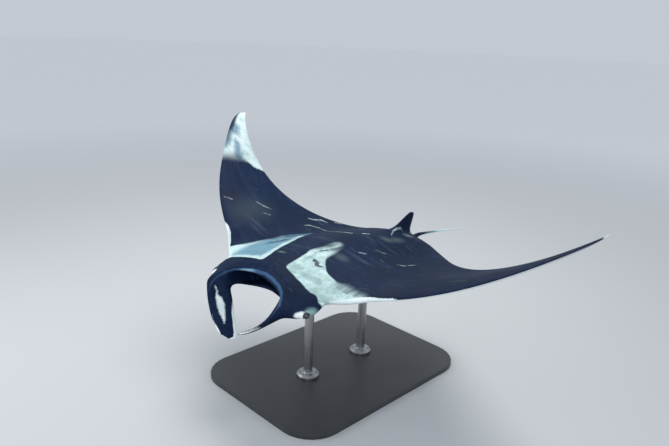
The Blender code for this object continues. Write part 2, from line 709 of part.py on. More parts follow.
def make_rod(word, y, low):
    """A turned rod with a foot collar, from the base up into the trunk."""
    tall = rod_top() - low
    profile = ((0.0, 0.0), (COLLAR_RADIUS - 0.003, 0.0), (COLLAR_RADIUS, 0.003),
               (COLLAR_RADIUS, COLLAR_HEIGHT - 0.010), (COLLAR_RADIUS - 0.010, COLLAR_HEIGHT),
               (ROD_RADIUS + 0.006, COLLAR_HEIGHT), (ROD_RADIUS, COLLAR_HEIGHT + 0.006),
               (ROD_RADIUS, tall), (0.0, tall))
    shape = bmesh.new()
    rings = []
    for r, z in profile:
        if r == 0.0:
            rings.append([shape.verts.new((0, y * DISC_WIDTH, low + z))] * ROD_SIDES)
            continue
        angles = [2 * math.pi * k / ROD_SIDES for k in range(ROD_SIDES)]
        rings.append([shape.verts.new((r * math.cos(a), y * DISC_WIDTH + r * math.sin(a), low + z))
                      for a in angles])
    for lower, upper in zip(rings, rings[1:]):
        for k in range(ROD_SIDES):
            n = (k + 1) % ROD_SIDES
            corners = [lower[k], lower[n], upper[n], upper[k]]
            shape.faces.new([c for i, c in enumerate(corners) if c not in corners[:i]])
    bmesh.ops.recalc_face_normals(shape, faces=shape.faces)
    name = "stand_rod_" + word
    rod = from_bmesh(name, shape, make_material(name, (0.55, 0.55, 0.56), 0.3, 1.0))
    rod.data.shade_smooth()
    rod.data.set_sharp_from_angle(angle=math.radians(35))
    return rod


def stand_on_origin(bodies):
    """Put the middle of the whole model's footprint at the origin, its base on the floor."""
    corners = np.array([c for body in bodies for c in
                        (body.matrix_world @ v.co for v in body.data.vertices)])
    low, high = corners.min(axis=0), corners.max(axis=0)
    shift = Vector((-(low[0] + high[0]) / 2, -(low[1] + high[1]) / 2, -low[2]))
    for body in bodies:
        body.location = shift


def main():
    for body in list(bpy.data.objects):
        bpy.data.objects.remove(body)
    bodies = make_flesh() + make_eyes()
    belly = height("belly", 0.0, 0.3) * DISC_WIDTH
    floor = belly - BELLY_HEIGHT
    middle = 0.5 * sum(ROD_PLACES.values()) * DISC_WIDTH
    bodies.append(make_base(floor, middle))
    for word, y in ROD_PLACES.items():
        bodies.append(make_rod(word, y, floor + BASE_THICKNESS + GAP))
    stand_on_origin(bodies)


main()
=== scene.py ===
"""A reef manta ray as a life-size museum model, wings raised, held over a flat base by two rods.

Lengths are in metres, apart from those of the animal's own body, which are in disc widths.
"""

import math

import bmesh
import bpy
import numpy as np
from mathutils import Matrix, Vector


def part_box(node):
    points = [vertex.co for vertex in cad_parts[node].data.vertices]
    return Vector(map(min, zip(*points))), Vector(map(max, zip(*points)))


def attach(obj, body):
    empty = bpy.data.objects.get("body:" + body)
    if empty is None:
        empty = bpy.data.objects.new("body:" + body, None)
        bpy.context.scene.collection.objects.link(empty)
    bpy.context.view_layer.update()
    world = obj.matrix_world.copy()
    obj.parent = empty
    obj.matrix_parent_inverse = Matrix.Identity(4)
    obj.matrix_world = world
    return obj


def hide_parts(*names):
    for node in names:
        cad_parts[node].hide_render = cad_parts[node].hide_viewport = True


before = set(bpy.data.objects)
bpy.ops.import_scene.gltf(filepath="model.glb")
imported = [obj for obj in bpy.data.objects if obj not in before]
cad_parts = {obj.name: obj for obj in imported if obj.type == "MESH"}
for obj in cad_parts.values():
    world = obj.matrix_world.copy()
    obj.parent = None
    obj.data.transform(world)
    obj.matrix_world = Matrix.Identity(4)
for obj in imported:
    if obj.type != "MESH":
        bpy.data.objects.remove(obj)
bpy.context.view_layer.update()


# Stand base. A flat board with round corners, sprayed in a satin charcoal paint that has a faint
# orange-peel texture, with a little dust settled on top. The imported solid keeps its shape.

PAINT = (0.03, 0.031, 0.034)
DUSTY_PAINT = (0.052, 0.052, 0.053)
PEEL_HEIGHT = 0.0004


class Field:
    """A value that changes over a surface: sums written with it add Math nodes."""

    def __init__(self, finish, socket):
        self.finish = finish
        self.socket = socket

    def __add__(self, other):
        return self.finish.maths("ADD", self, other)

    def __sub__(self, other):
        return self.finish.maths("SUBTRACT", self, other)

    def __rsub__(self, other):
        return self.finish.maths("SUBTRACT", other, self)

    def __mul__(self, other):
        return self.finish.maths("MULTIPLY", self, other)

    __radd__ = __add__
    __rmul__ = __mul__


class Finish:
    """A material in the making: its nodes are added here and led to its shader."""

    def __init__(self, name, **constants):
        self.material = bpy.data.materials.new(name)
        self.material.use_nodes = True
        self.tree = self.material.node_tree
        self.shader = self.tree.nodes["Principled BSDF"]
        self.fill(self.shader, {key.replace("_", " "): v for key, v in constants.items()})

    def fill(self, node, sockets):
        for name, value in sockets.items():
            socket = node.inputs[name]
            if isinstance(value, Field):
                self.tree.links.new(value.socket, socket)
            else:
                socket.default_value = (*value, 1.0) if socket.type == "RGBA" else value

    def node(self, kind, settings=None, sockets=None, gives=0):
        made = self.tree.nodes.new("ShaderNode" + kind)
        for name, value in (settings or {}).items():
            setattr(made, name, value)
        self.fill(made, sockets or {})
        return Field(self, made.outputs[gives])

    def maths(self, operation, *terms):
        return self.node("Math", {"operation": operation}, dict(enumerate(terms)))

    def vectors(self, operation, *terms, gives=0):
        return self.node("VectorMath", {"operation": operation}, dict(enumerate(terms)), gives)

    def place(self):
        """Where a point lies, in the frame's metres."""
        return self.node("TexCoord", gives="Object")

    def noise(self, vector, scale, detail=3.0, roughness=0.5):
        sockets = {"Vector": vector, "Scale": scale, "Detail": detail, "Roughness": roughness}
        return self.node("TexNoise", None, sockets)

    def drawn_out(self, vector, scales, detail=4.0, roughness=0.5):
        """Noise with a scale of its own along each axis."""
        return self.noise(self.vectors("MULTIPLY", vector, scales), 1.0, detail, roughness)

    def step(self, value, low, high):
        """0 below low, 1 above high, smooth between them."""
        settings = {"interpolation_type": "SMOOTHSTEP"}
        return self.node("MapRange", settings, {"Value": value, "From Min": low, "From Max": high})

    def blend(self, share, first, second):
        settings = {"data_type": "RGBA", "clamp_factor": True}
        return self.node("Mix", settings, {0: share, 6: first, 7: second}, gives=2)

    def colour(self, base, roughness=None):
        """Lead the base colour, and where it varies the roughness, to the shader."""
        self.fill(self.shader, {"Base Color": base})
        if roughness:
            self.fill(self.shader, {"Roughness": roughness})

    def bump(self, height, distance, strength):
        """Lead a height, in units of the distance, to the shader's normal."""
        sockets = {"Height": height, "Distance": distance, "Strength": strength}
        self.fill(self.shader, {"Normal": self.node("Bump", None, sockets)})


def dress(node, finish):
    """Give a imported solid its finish."""
    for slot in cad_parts[node].material_slots:
        slot.material = finish.material


paint = Finish("base_paint", Coat_Weight=0.12, Coat_Roughness=0.3)
peel = paint.noise(paint.place(), 260.0, 2.0)
dust = paint.step(paint.noise(paint.place(), 5.0, 6.0, 0.62), 0.45, 0.75)
specks = paint.step(paint.noise(paint.place(), 900.0, 2.0), 0.68, 0.74)
paint.colour(paint.blend(dust * 0.55 + specks * 0.25, PAINT, DUSTY_PAINT),
             0.36 + dust * 0.16 + peel * 0.05)
paint.bump(peel, PEEL_HEIGHT, 0.5)
dress("stand_base", paint)


# Stand rods. Two solid steel rods turned with a foot collar, finely brushed round their length.
# Each runs up into a socket in the belly, and four cap screws hold its collar to the board.

STEEL = (0.5, 0.5, 0.51)
STEEL_DARK = (0.3, 0.3, 0.315)
BRUSHING = (7.0, 7.0, 900.0)
BRUSH_DEPTH = 0.0002
COLLAR_HEIGHT = 0.028
SCREW_CIRCLE = 0.056
SCREW_RADIUS = 0.0075
SCREW_HEIGHT = 0.006
SCREW_PROFILE = ((1.0, 0.0), (1.0, 0.82), (0.93, 1.0), (0.62, 1.0))  # parts of radius and height
SCREW_SIDES = 32
SCREWS = 4
KEY_RADIUS = 0.0036
KEY_FLOOR = 0.35                # part of the height
KEY_SIDE = math.pi / 3
SHARP_FROM = math.radians(35)

steel = Finish("rod_steel", Metallic=1.0)
lines = steel.drawn_out(steel.place(), BRUSHING, 4.0, 0.6)
handling = steel.noise(steel.place(), 22.0, 4.0)
steel.colour(steel.blend(0.65 * lines + 0.35 * handling, STEEL_DARK, STEEL),
             0.20 + 0.20 * lines + 0.10 * handling)
steel.bump(lines, BRUSH_DEPTH, 0.45)
for rod in ("stand_rod_front", "stand_rod_rear"):
    dress(rod, steel)


def ring_of(shape, radius, sides, level):
    """Points round the upright axis. The radius is a number, or a function of the angle."""
    ring = []
    for k in range(sides):
        a = 2 * math.pi * k / sides
        r = radius(a) if callable(radius) else radius
        ring.append(shape.verts.new((r * math.cos(a), r * math.sin(a), level)))
    return ring


def bridge(shape, rings):
    for lower, upper in zip(rings, rings[1:]):
        for k in range(len(lower)):
            n = (k + 1) % len(lower)
            shape.faces.new([lower[k], lower[n], upper[n], upper[k]])


def mesh_of(shape, name):
    mesh = bpy.data.meshes.new(name)
    shape.to_mesh(mesh)
    shape.free()
    return mesh


def smooth_mesh(shape, name, finish):
    bmesh.ops.recalc_face_normals(shape, faces=shape.faces)
    mesh = mesh_of(shape, name)
    mesh.shade_smooth()
    mesh.materials.append(finish.material)
    return mesh


def put(name, data):
    """Add an object to the scene."""
    made = bpy.data.objects.new(name, data)
    bpy.context.collection.objects.link(made)
    return made


def key_radius(angle):
    """Six flats round the key hole."""
    aside = (angle + KEY_SIDE / 2) % KEY_SIDE - KEY_SIDE / 2
    return KEY_RADIUS * math.cos(KEY_SIDE / 2) / math.cos(aside)


def screw_mesh():
    """A cap screw's head: a drum with a softened rim and a six-sided key hole."""
    shape = bmesh.new()
    rings = [ring_of(shape, r * SCREW_RADIUS, SCREW_SIDES, z * SCREW_HEIGHT)
             for r, z in SCREW_PROFILE]
    rings += [ring_of(shape, key_radius, SCREW_SIDES, z * SCREW_HEIGHT) for z in (1.0, KEY_FLOOR)]
    bridge(shape, rings)
    shape.faces.new(rings[-1])
    shape.faces.new(rings[0][::-1])
    mesh = smooth_mesh(shape, "cap_screw", steel)
    mesh.set_sharp_from_angle(angle=SHARP_FROM)
    return mesh


screw = screw_mesh()
for word in ("front", "rear"):
    low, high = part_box("stand_rod_" + word)
    middle = (low + high) / 2
    for k in range(SCREWS):
        angle = math.pi / 4 + k * 2 * math.pi / SCREWS
        piece = put(f"cap_screw_{word}_{k + 1}", screw)
        piece.location = (middle.x + SCREW_CIRCLE * math.cos(angle),
                          middle.y + SCREW_CIRCLE * math.sin(angle), low.z + COLLAR_HEIGHT)
        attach(piece, "root")


# Hide. The ray's whole skin, cast in one piece over a stiff core and held up by the two rods. It
# is laid out flat as a cage of four-sided faces and rounded; gill slits, lids and folds are
# pressed into it, and then the wings are raised along their own curves.

DISC_WIDTH = 3.5
ROD_FRONT = 0.155
ROD_REACH = 0.085
COLUMNS = (0.0, 0.01, 0.032, 0.052, 0.07, 0.112, 0.15, 0.2, 0.255, 0.31, 0.365, 0.415,
           0.455, 0.483, 0.504)
ROWS = (0.05, 0.15, 0.3, 0.48, 0.66, 0.8, 0.89, 0.955, 1.0)  # parts of the chord
MOUTH_COLUMN = 4
HEAD_COLUMN = 5
TIP_COLUMN = 14
LAST_ROW = 10
FIN_ROW = 7             # the dorsal fin stands over two rows from here
HEAD_FRONT = 0.062      # where the wing rows begin on the head
LEADING_EDGE = ((0.12, 0.057), (0.17, 0.088), (0.22, 0.105), (0.28, 0.124), (0.34, 0.158),
                (0.4, 0.201), (0.45, 0.241), (0.48, 0.27), (0.504, 0.308))
TRAILING_EDGE = ((0.0, 0.447), (0.02, 0.445), (0.06, 0.434), (0.12, 0.402), (0.18, 0.352),
                 (0.24, 0.308), (0.3, 0.276), (0.36, 0.267), (0.42, 0.274), (0.46, 0.291),
                 (0.485, 0.306), (0.504, 0.323))
# Back and belly: fullness of the trunk along the chord
TRUNK_TOP = ((0.0, 0.8), (0.1, 0.93), (0.25, 1.0), (0.45, 0.98), (0.65, 0.84), (0.82, 0.61),
             (0.95, 0.36), (1.0, 0.2))
TRUNK_UNDER = ((0.0, 0.36), (0.1, 0.58), (0.25, 0.9), (0.4, 1.0), (0.6, 0.82), (0.82, 0.42),
               (0.95, 0.16), (1.0, 0.08))
TRUNK_SIDE = (0.05, 0.165)      # all trunk inside the first, all wing outside the second
WING_RISE = (0.12, 0.5)         # the wing's middle plane comes down to the tip between these
MIDDLE_HEIGHT = 0.011
TRUNK_HALF = 0.1                # how fast the trunk thins outwards
SKIN_THICK = 0.0012
MOUTH_CORNER = (0.068, 0.02, -0.001)
SIDE_POINTS = ((0.116, 0.016, -0.004), (0.144, 0.051, -0.001), (0.1265, 0.0645, 0.012))
RIGHT_REACH = 0.008             # the right wing is swept further forward at its root

# Mouth, from the lips inward: width against the lips', depth, fall of the roof and of the floor
# from the lips, and the side wall's bulge
MOUTH_STEPS = ((0.94, 0.0, 0.0085, 0.0, 0.0035), (0.93, 0.032, 0.003, 0.004, 0.0045),
               (0.84, 0.056, 0.002, 0.002, 0.004), (0.64, 0.078, 0.006, -0.001, 0.002))

# Cephalic fin: points along its middle line, half width and half thickness at each
FIN_LINE = (
    ((0.0803, 0.012, -0.0094), 0.0265, 0.0115), ((0.0728, 0.0089, -0.0207), 0.0285, 0.008),
    ((0.0635, 0.0038, -0.0335), 0.029, 0.0052), ((0.05, -0.0015, -0.048), 0.029, 0.0036),
    ((0.033, -0.0085, -0.062), 0.0265, 0.003), ((0.0115, -0.015, -0.0742), 0.02, 0.0022))
# Points round it, in half thicknesses and half widths: front edge, outer, rear edge, inner face
FIN_ROUND = ((-0.7, 0.94), (0.7, 0.94), (1.15, 0.0), (0.7, -0.94), (-0.7, -0.94), (-0.9, 0.0))
FIN_SWAY = (0.0025, 0.006)          # both swing to the animal's right, its left one up
FIN_ACROSS = (0.69, -0.565, 0.45)   # from its rear edge to its front edge
FIN_TIP_SHORT = (0.001, 0.013)      # the tip's front and rear corners fall short of its middle

# Tail: place along the body, height and radius
TAIL_LINE = ((0.462, 0.009, 0.007), (0.482, 0.0076, 0.0046), (0.512, 0.0055, 0.0033),
             (0.548, 0.001, 0.0026), (0.586, -0.004, 0.0022), (0.618, -0.008, 0.0017),
             (0.64, -0.011, 0.001))
TAIL_ROOT = {"back": 0.0085, "belly": -0.007}
# Dorsal fin, from its foot up: front and rear edge, height over the back, half thickness
DORSAL_STEPS = ((0.39, 0.433, 0.0085, 0.0046), (0.405, 0.438, 0.017, 0.0034),
                (0.42, 0.442, 0.025, 0.0024), (0.432, 0.444, 0.03, 0.0014))
DORSAL_RING = ((1, 0, 0), (1, 1, 0), (1, 1, 1), (1, 1, 2), (1, 0, 2), (-1, 1, 2), (-1, 1, 1),
               (-1, 1, 0))      # side, column and row of the points round it
DORSAL_FALL = 0.014
# Pelvic fin, going back: place, height, half thickness, inner and outer edge
PELVIC_STEPS = ((0.444, -0.0065, 0.003, 0.014, 0.034), (0.458, -0.008, 0.0024, 0.017, 0.036),
                (0.472, -0.009, 0.0012, 0.021, 0.033))

# How the wings rise: angle along the wing as a cubic, then the lean and the sweep of the bend
BEND_START = 0.07
BEND_STEPS = 120
BEND_PIVOT = 0.2
WING_REACH = 0.506              # the bend is worked out this far along the wing
LEFT_BEND = ((1.14, -0.66, 0.1), 0.049, 0.247)
RIGHT_BEND = ((2.02, 0.06, -1.82), -0.076, 0.01)
STIFF_SIDE = (0.124, 0.19)      # no bend inside the first, full bend outside the second
STIFF_REAR = (0.106, 0.16)

# Which faces of the cage belong to what
OUTSIDE, MOUTH, LEFT_FIN, RIGHT_FIN, TAIL = range(5)


def curve(points, at):
    """Read a smooth curve through a few points, with no overshoot between them."""
    xs, ys = np.array(points).T
    slopes = np.diff(ys) / np.diff(xs)
    tangents = np.zeros(len(xs))
    tangents[0], tangents[-1] = slopes[0], slopes[-1]
    for k, (a, b) in enumerate(zip(slopes, slopes[1:]), 1):
        if a * b > 0:
            tangents[k] = 2 * a * b / (a + b)
    at = min(max(at, xs[0]), xs[-1])
    k = min(int(np.searchsorted(xs, at, side="right")) - 1, len(xs) - 2)
    h = xs[k + 1] - xs[k]
    t = (at - xs[k]) / h
    return ((2 * t**3 - 3 * t**2 + 1) * ys[k] + (t**3 - 2 * t**2 + t) * h * tangents[k]
            + (3 * t**2 - 2 * t**3) * ys[k + 1] + (t**3 - t**2) * h * tangents[k + 1])


def smooth_step(low, high, x):
    t = np.clip((x - low) / (high - low), 0.0, 1.0)
    return t * t * (3 - 2 * t)


def chord(x, part):
    front = curve(LEADING_EDGE, x) if x > LEADING_EDGE[0][0] else HEAD_FRONT
    return front + part * (curve(TRAILING_EDGE, x) - front)


def wing_section(part):
    """Half thickness of a fin section, 1 at its thickest."""
    p = max(part, 0.0)
    full = 2 * (1.4845 * math.sqrt(p) - 0.63 * p - 1.758 * p**2 + 1.4215 * p**3 - 0.5075 * p**4)
    return full * (1 - 0.4 * float(smooth_step(0.35, 0.9, p)))


def height(sheet, x, part):
    """Height of the back or the belly over the flat middle plane."""
    trunk = 1 - float(smooth_step(*TRUNK_SIDE, x))
    span = max(1 - x / 0.5, 0.0)**0.85
    middle = MIDDLE_HEIGHT * (1 - smooth_step(*WING_RISE, x)) - 0.007 * trunk
    bulk = math.exp(-(x / TRUNK_HALF)**2)
    if sheet == "back":
        thick = 0.030 * bulk + 0.0175 * span + SKIN_THICK
        return middle + thick * (trunk * curve(TRUNK_TOP, part) + (1 - trunk) * wing_section(part))
    thick = 0.033 * bulk + 0.0135 * span + SKIN_THICK
    fair = 0.35 + 0.65 * float(smooth_step(0.0, 0.30, part))
    shape = trunk * curve(TRUNK_UNDER, part) + (1 - trunk) * wing_section(part) * fair
    return middle - thick * shape


def upper_lip(x):
    t = x / 0.11
    return (x, 0.031 - 0.019 * t**2, 0.0325 - 0.028 * t**2 - 0.006 * t**4)


def lower_lip(x):
    return (x, 0.057 - 0.018 * (x / 0.09)**2, -0.016 * (1 - math.exp(-(x / 0.056)**2)))


def sheet_point(sheet, column, row):
    """A cage point of the back or the belly, rows counted from the lip to the rear edge."""
    x = COLUMNS[column]
    if row >= 2:
        part = ROWS[row - 2]
        return (x, chord(x, part), height(sheet, x, part))
    if sheet == "back":
        lip, bulge = upper_lip(x), 0.0045
    else:
        lip, bulge = lower_lip(x), -0.0015
        lip = (x, lip[1] - 0.001, lip[2] - 0.0070 * (1 - (x / 0.125)**2))
    if row == 0:
        return lip
    _, y, z = sheet_point(sheet, column, 2)
    return (x, 0.5 * (lip[1] + y), 0.5 * (lip[2] + z) + bulge)


def front_edge(x):
    return (x, curve(LEADING_EDGE, x), MIDDLE_HEIGHT * (1 - smooth_step(*WING_RISE, x)))


def rear_edge(x):
    return (x, curve(TRAILING_EDGE, x), 0.004 * (1 - smooth_step(*TRUNK_SIDE, x)))


def inner_point(kind, column, depth):
    """A cage point inside the mouth: its roof, its floor or its side wall."""
    narrow, back, roof_drop, floor_drop, bulge = MOUTH_STEPS[depth]
    x = COLUMNS[column] * narrow
    lip = upper_lip(COLUMNS[column])
    jaw = lower_lip(COLUMNS[column])
    roof = (x, lip[1] + 0.0010 + back, lip[2] - roof_drop)
    floor = (x, jaw[1] + 0.0020 + back * 0.62, jaw[2] - floor_drop)
    wall = (x + bulge, 0.5 * (roof[1] + floor[1]), 0.5 * (roof[2] + floor[2]))
    return {"roof": roof, "floor": floor, "wall": wall}[kind]


class Cage:
    """Four-sided faces between points that are known by name and by side of the animal."""

    def __init__(self):
        self.mesh = bmesh.new()
        self.points = {}
        self.part = OUTSIDE

    def point(self, side, name, place):
        if place[0] == 0.0:
            side = 1
        key = (side, name)
        if key not in self.points:
            x, y, z = place
            self.points[key] = self.mesh.verts.new((side * x, y, z))
        return self.points[key]

    def face(self, side, corners):
        corners = [c for k, c in enumerate(corners) if c not in corners[:k]]
        made = self.mesh.faces.new(corners if side > 0 else corners[::-1])
        made.material_index = self.part

    def body(self, side, sheet, column, row):
        """A point of the back or the belly. They share their points at the tip and the rear."""
        x = COLUMNS[column]
        if row == LAST_ROW and column:
            return self.point(side, ("rear", column), rear_edge(x))
        if row == LAST_ROW:
            x, y, z = rear_edge(x)
            return self.point(side, ("tail", sheet), (x, y, z + TAIL_ROOT[sheet]))
        place = sheet_point(sheet, column, row)
        if column < TIP_COLUMN:
            return self.point(side, (sheet, column, row), place)
        heights = [sheet_point(each, column, row)[2] for each in ("back", "belly")]
        return self.point(side, ("tip", row), (*place[:2], 0.5 * sum(heights)))

    def head(self, side, index):
        x, y, z = SIDE_POINTS[index]
        if side < 0 and index == 2:
            y -= RIGHT_REACH
        return self.point(side, ("side", index), (x, y, z))

    def front(self, side, column):
        if column == HEAD_COLUMN:
            return self.head(side, 2)
        return self.point(side, ("front", column), front_edge(COLUMNS[column]))

    def corner(self, side):
        return self.point(side, ("corner",), MOUTH_CORNER)

    def join(self, side, line, following, closed=True):
        """A row of faces between two lines of points, or round between two rings."""
        for k in range(len(line) if closed else len(line) - 1):
            n = (k + 1) % len(line)
            self.face(side, [line[k], line[n], following[n], following[k]])
        return following


def add_sheet(cage, side, sheet):
    """The back or the belly of one side of the animal."""
    turn = side if sheet == "back" else -side
    for column in range(TIP_COLUMN):
        for row in range(0 if column < HEAD_COLUMN else 2, LAST_ROW):
            if sheet == "back" and column == 0 and FIN_ROW <= row < FIN_ROW + 2:
                continue
            if sheet == "belly" and column == 1 and row == FIN_ROW + 1:
                continue
            cage.face(turn, [cage.body(side, sheet, column + a, row + b)
                             for a, b in ((0, 0), (1, 0), (1, 1), (0, 1))])
    for column in range(HEAD_COLUMN, TIP_COLUMN):
        cage.face(turn, [cage.front(side, column), cage.front(side, column + 1),
                         cage.body(side, sheet, column + 1, 2), cage.body(side, sheet, column, 2)])
    for row in range(2):
        cage.face(turn, [cage.body(side, sheet, HEAD_COLUMN, row), cage.head(side, row),
                         cage.head(side, row + 1), cage.body(side, sheet, HEAD_COLUMN, row + 1)])


def fin_point(side, step, thick, wide):
    """A point of the cephalic fin, in half thicknesses and half widths from its middle line."""
    place, half_width, half_thick = FIN_LINE[step]
    after = Vector(FIN_LINE[min(step + 1, len(FIN_LINE) - 1)][0])
    before = Vector(FIN_LINE[max(step - 1, 0)][0])
    across = Vector(FIN_ACROSS).normalized()
    along = (after - before).normalized()
    out = across.cross(along).normalized()
    swing = side * (0.4 + 0.25 * step)
    point = Vector(place) + Vector((-FIN_SWAY[0] * swing, 0.0, FIN_SWAY[1] * swing))
    point = point + out * (thick * half_thick) + across * (wide * half_width)
    if step == len(FIN_LINE) - 1 and wide:
        point -= along * FIN_TIP_SHORT[0 if wide > 0 else 1]
    return tuple(point)


def add_cephalic_fin(cage, side):
    """Drawn out from the side of the head, with six points round it."""
    mouth, head = MOUTH_COLUMN, HEAD_COLUMN
    ring = [cage.body(side, "back", mouth, 0), cage.body(side, "back", head, 0),
            cage.head(side, 0), cage.body(side, "belly", head, 0),
            cage.body(side, "belly", mouth, 0), cage.corner(side)]
    for step in range(len(FIN_LINE)):
        ring = cage.join(-side, ring, [
            cage.point(side, ("fin", step, k), fin_point(side, step, *place))
            for k, place in enumerate(FIN_ROUND)])
    cage.face(-side, [ring[0], ring[1], ring[2], ring[5]])
    cage.face(-side, [ring[5], ring[2], ring[3], ring[4]])


def mouth_line(cage, side, depth):
    """Roof points from the middle out, the side wall, then the floor back to the middle."""
    def inner(kind, column):
        return cage.point(side, (kind, column, depth), inner_point(kind, column, depth))

    columns = range(MOUTH_COLUMN + 1)
    if depth < 0:
        roof, floor = ([cage.body(side, sheet, c, 0) for c in columns]
                       for sheet in ("back", "belly"))
        return roof + [cage.corner(side)] + floor[::-1]
    roof, floor = ([inner(kind, c) for c in columns] for kind in ("roof", "floor"))
    return roof + [inner("wall", MOUTH_COLUMN)] + floor[::-1]


def add_mouth(cage, side):
    line = mouth_line(cage, side, -1)
    for depth in range(len(MOUTH_STEPS)):
        line = cage.join(-side, line, mouth_line(cage, side, depth), closed=False)
    last = len(line) - 1
    for k in range(MOUTH_COLUMN - 1):
        cage.face(-side, [line[k], line[k + 1], line[last - k - 1], line[last - k]])
    cage.face(-side, line[MOUTH_COLUMN - 1:MOUTH_COLUMN + 4])


def add_tail(cage):
    ring = [cage.body(1, "back", 0, LAST_ROW), cage.body(1, "back", 1, LAST_ROW),
            cage.body(1, "belly", 0, LAST_ROW), cage.body(-1, "back", 1, LAST_ROW)]
    for step, (y, z, r) in enumerate(TAIL_LINE):
        corners = ((1, 0, (0.0, y, z + r)), (1, 1, (r, y, z)), (1, 2, (0.0, y, z - r)),
                   (-1, 1, (r, y, z)))
        ring = cage.join(1, ring, [cage.point(side, ("whip", step, k), place)
                                   for side, k, place in corners])
    cage.face(1, ring)


def add_dorsal_fin(cage):
    """Drawn up from the four faces of the back that were left open."""
    ring = [cage.body(side, "back", c, FIN_ROW + r) for side, c, r in DORSAL_RING]
    cage.mesh.verts.remove(cage.body(1, "back", 0, FIN_ROW + 1))
    foot = sheet_point("back", 0, FIN_ROW)[2]
    for step, (front, rear, lift, half) in enumerate(DORSAL_STEPS):
        following = []
        for side, c, r in DORSAL_RING:
            along = r / 2
            thick = half * (1.0 if r == 1 else 0.55) * c
            z = foot + lift - DORSAL_FALL * along * (1 - step / len(DORSAL_STEPS))
            place = (thick, front + along * (rear - front), z)
            following.append(cage.point(side, ("dorsal", step, c, r), place))
        ring = cage.join(-1, ring, following)
    cage.face(-1, [ring[0], ring[1], ring[2], ring[6], ring[7]])
    cage.face(-1, ring[2:7])


def add_pelvic_fin(cage, side):
    ring = [cage.body(side, "belly", c, FIN_ROW + r) for c, r in ((1, 1), (2, 1), (2, 2), (1, 2))]
    for step, (y, z, half, inner, outer) in enumerate(PELVIC_STEPS):
        corners = ((inner, z - half), (outer, z - half), (outer, z + half), (inner, z + half))
        ring = cage.join(side, ring, [cage.point(side, ("pelvic", step, k), (x, y, level))
                                      for k, (x, level) in enumerate(corners)])
    cage.face(side, ring)


def make_cage():
    cage = Cage()
    for side in (1, -1):
        for sheet in ("back", "belly"):
            add_sheet(cage, side, sheet)
        cage.part = MOUTH
        add_mouth(cage, side)
        cage.part = LEFT_FIN if side > 0 else RIGHT_FIN
        add_cephalic_fin(cage, side)
        cage.part = OUTSIDE
        add_pelvic_fin(cage, side)
    cage.part = TAIL
    add_tail(cage)
    cage.part = OUTSIDE
    add_dorsal_fin(cage)
    bmesh.ops.recalc_face_normals(cage.mesh, faces=cage.mesh.faces)
    return cage.mesh


def turn_matrix(w):
    """Rotation by the vector w: its length is the angle."""
    angle = float(np.linalg.norm(w))
    if angle < 1e-9:
        return np.eye(3)
    x, y, z = np.asarray(w) / angle
    k = np.array([[0, -z, y], [z, 0, -x], [-y, x, 0]])
    return np.eye(3) + math.sin(angle) * k + (1 - math.cos(angle)) * (k @ k)


def wing_chain(bend):
    """Place and turn of each section along a wing that rises step by step."""
    (r1, r2, r3), lean, sweep = bend
    reach = np.linspace(0, WING_REACH, BEND_STEPS + 1)
    part = np.clip((reach - BEND_START) / (WING_REACH - BEND_START), 0, 1)
    places, turns = [np.zeros(3)], [np.eye(3)]
    for near, far in zip(part, part[1:]):
        t = 0.5 * (far + near)
        dt = far - near
        rise = (r1 + 2 * r2 * t + 3 * r3 * t**2) * dt
        turn = turn_matrix((rise * math.sin(lean), -rise * math.cos(lean), sweep * dt))
        turns.append(turns[-1] @ turn)
        places.append(places[-1] + 0.5 * reach[1] * (turns[-1][:, 0] + turns[-2][:, 0]))
    return np.array(places), np.array(turns)


def raise_wings(flat):
    """Carry points of the flat body, in disc widths, to where the raised wings have them."""
    raised = flat.copy()
    for side, bend in ((1, LEFT_BEND), (-1, RIGHT_BEND)):
        pick = flat[:, 0] * side > BEND_START
        x = flat[pick, 0] * side
        places, turns = wing_chain(bend)
        along = np.clip(x / WING_REACH * BEND_STEPS, 0, BEND_STEPS - 1e-9)
        k = along.astype(int)
        t = (along - k)[:, None]
        local = np.stack([np.zeros_like(x), flat[pick, 1] - BEND_PIVOT, flat[pick, 2]], axis=1)
        near, far = (places[n] + np.einsum("nij,nj->ni", turns[n], local) for n in (k, k + 1))
        bent = near * (1 - t) + far * t
        bent[:, 1] += BEND_PIVOT
        bent[:, 0] *= side
        free_side = smooth_step(*STIFF_SIDE, x)
        free_rear = smooth_step(*STIFF_REAR, flat[pick, 1])
        free = (1 - (1 - free_side) * (1 - free_rear))[:, None]
        raised[pick] = flat[pick] * (1 - free) + bent * free
    return raised


ROUNDING = 4
EYE_PLACE = (0.12, 0.0335, -0.0035)
EYE_AXIS = Vector((0.95, -0.28, 0.1)).normalized()
EYE_REFINED = (0.026, 0.016, 0.011)     # extra faces inside each of these
GILL_BOX = ((0.03, 0.102), (0.108, 0.232))     # and here, aside and along
GILLS = 5
GILL_FIRST = 0.12              # place of the first slit, then how far apart they lie
GILL_APART = 0.0225
GILL_INNER = (0.041, -0.0016)   # the first slit's inner end, and the change to the next
GILL_OUTER = (0.091, -0.006)
LID_STRETCH = 1.22
LID_DEPTH = 0.003
# Folds in the hide: height, place and width of each
LID_FOLDS = ((0.00075, 0.0058, 0.0011), (-0.00045, 0.0086, 0.001), (0.0009, 0.0, 0.0115))
GILL_FOLDS = ((-0.0017, 0.0, 0.001), (0.0013, -0.0042, 0.0034))
LIP_FOLDS = ((1.0, 0.0, 0.0045), (-1.0, 0.011, 0.0024))
LIP_HEIGHT = 0.0005
ARCH_START = 0.062
ARCH_APART = 0.0095
ARCH_HEIGHT = 0.001
FIN_EDGE = 0.8                 # where a cephalic fin's round edge lies, in half widths
NOT_THERE = -1.0                # stored where a marking can't be
FAR_OFF = 0.05

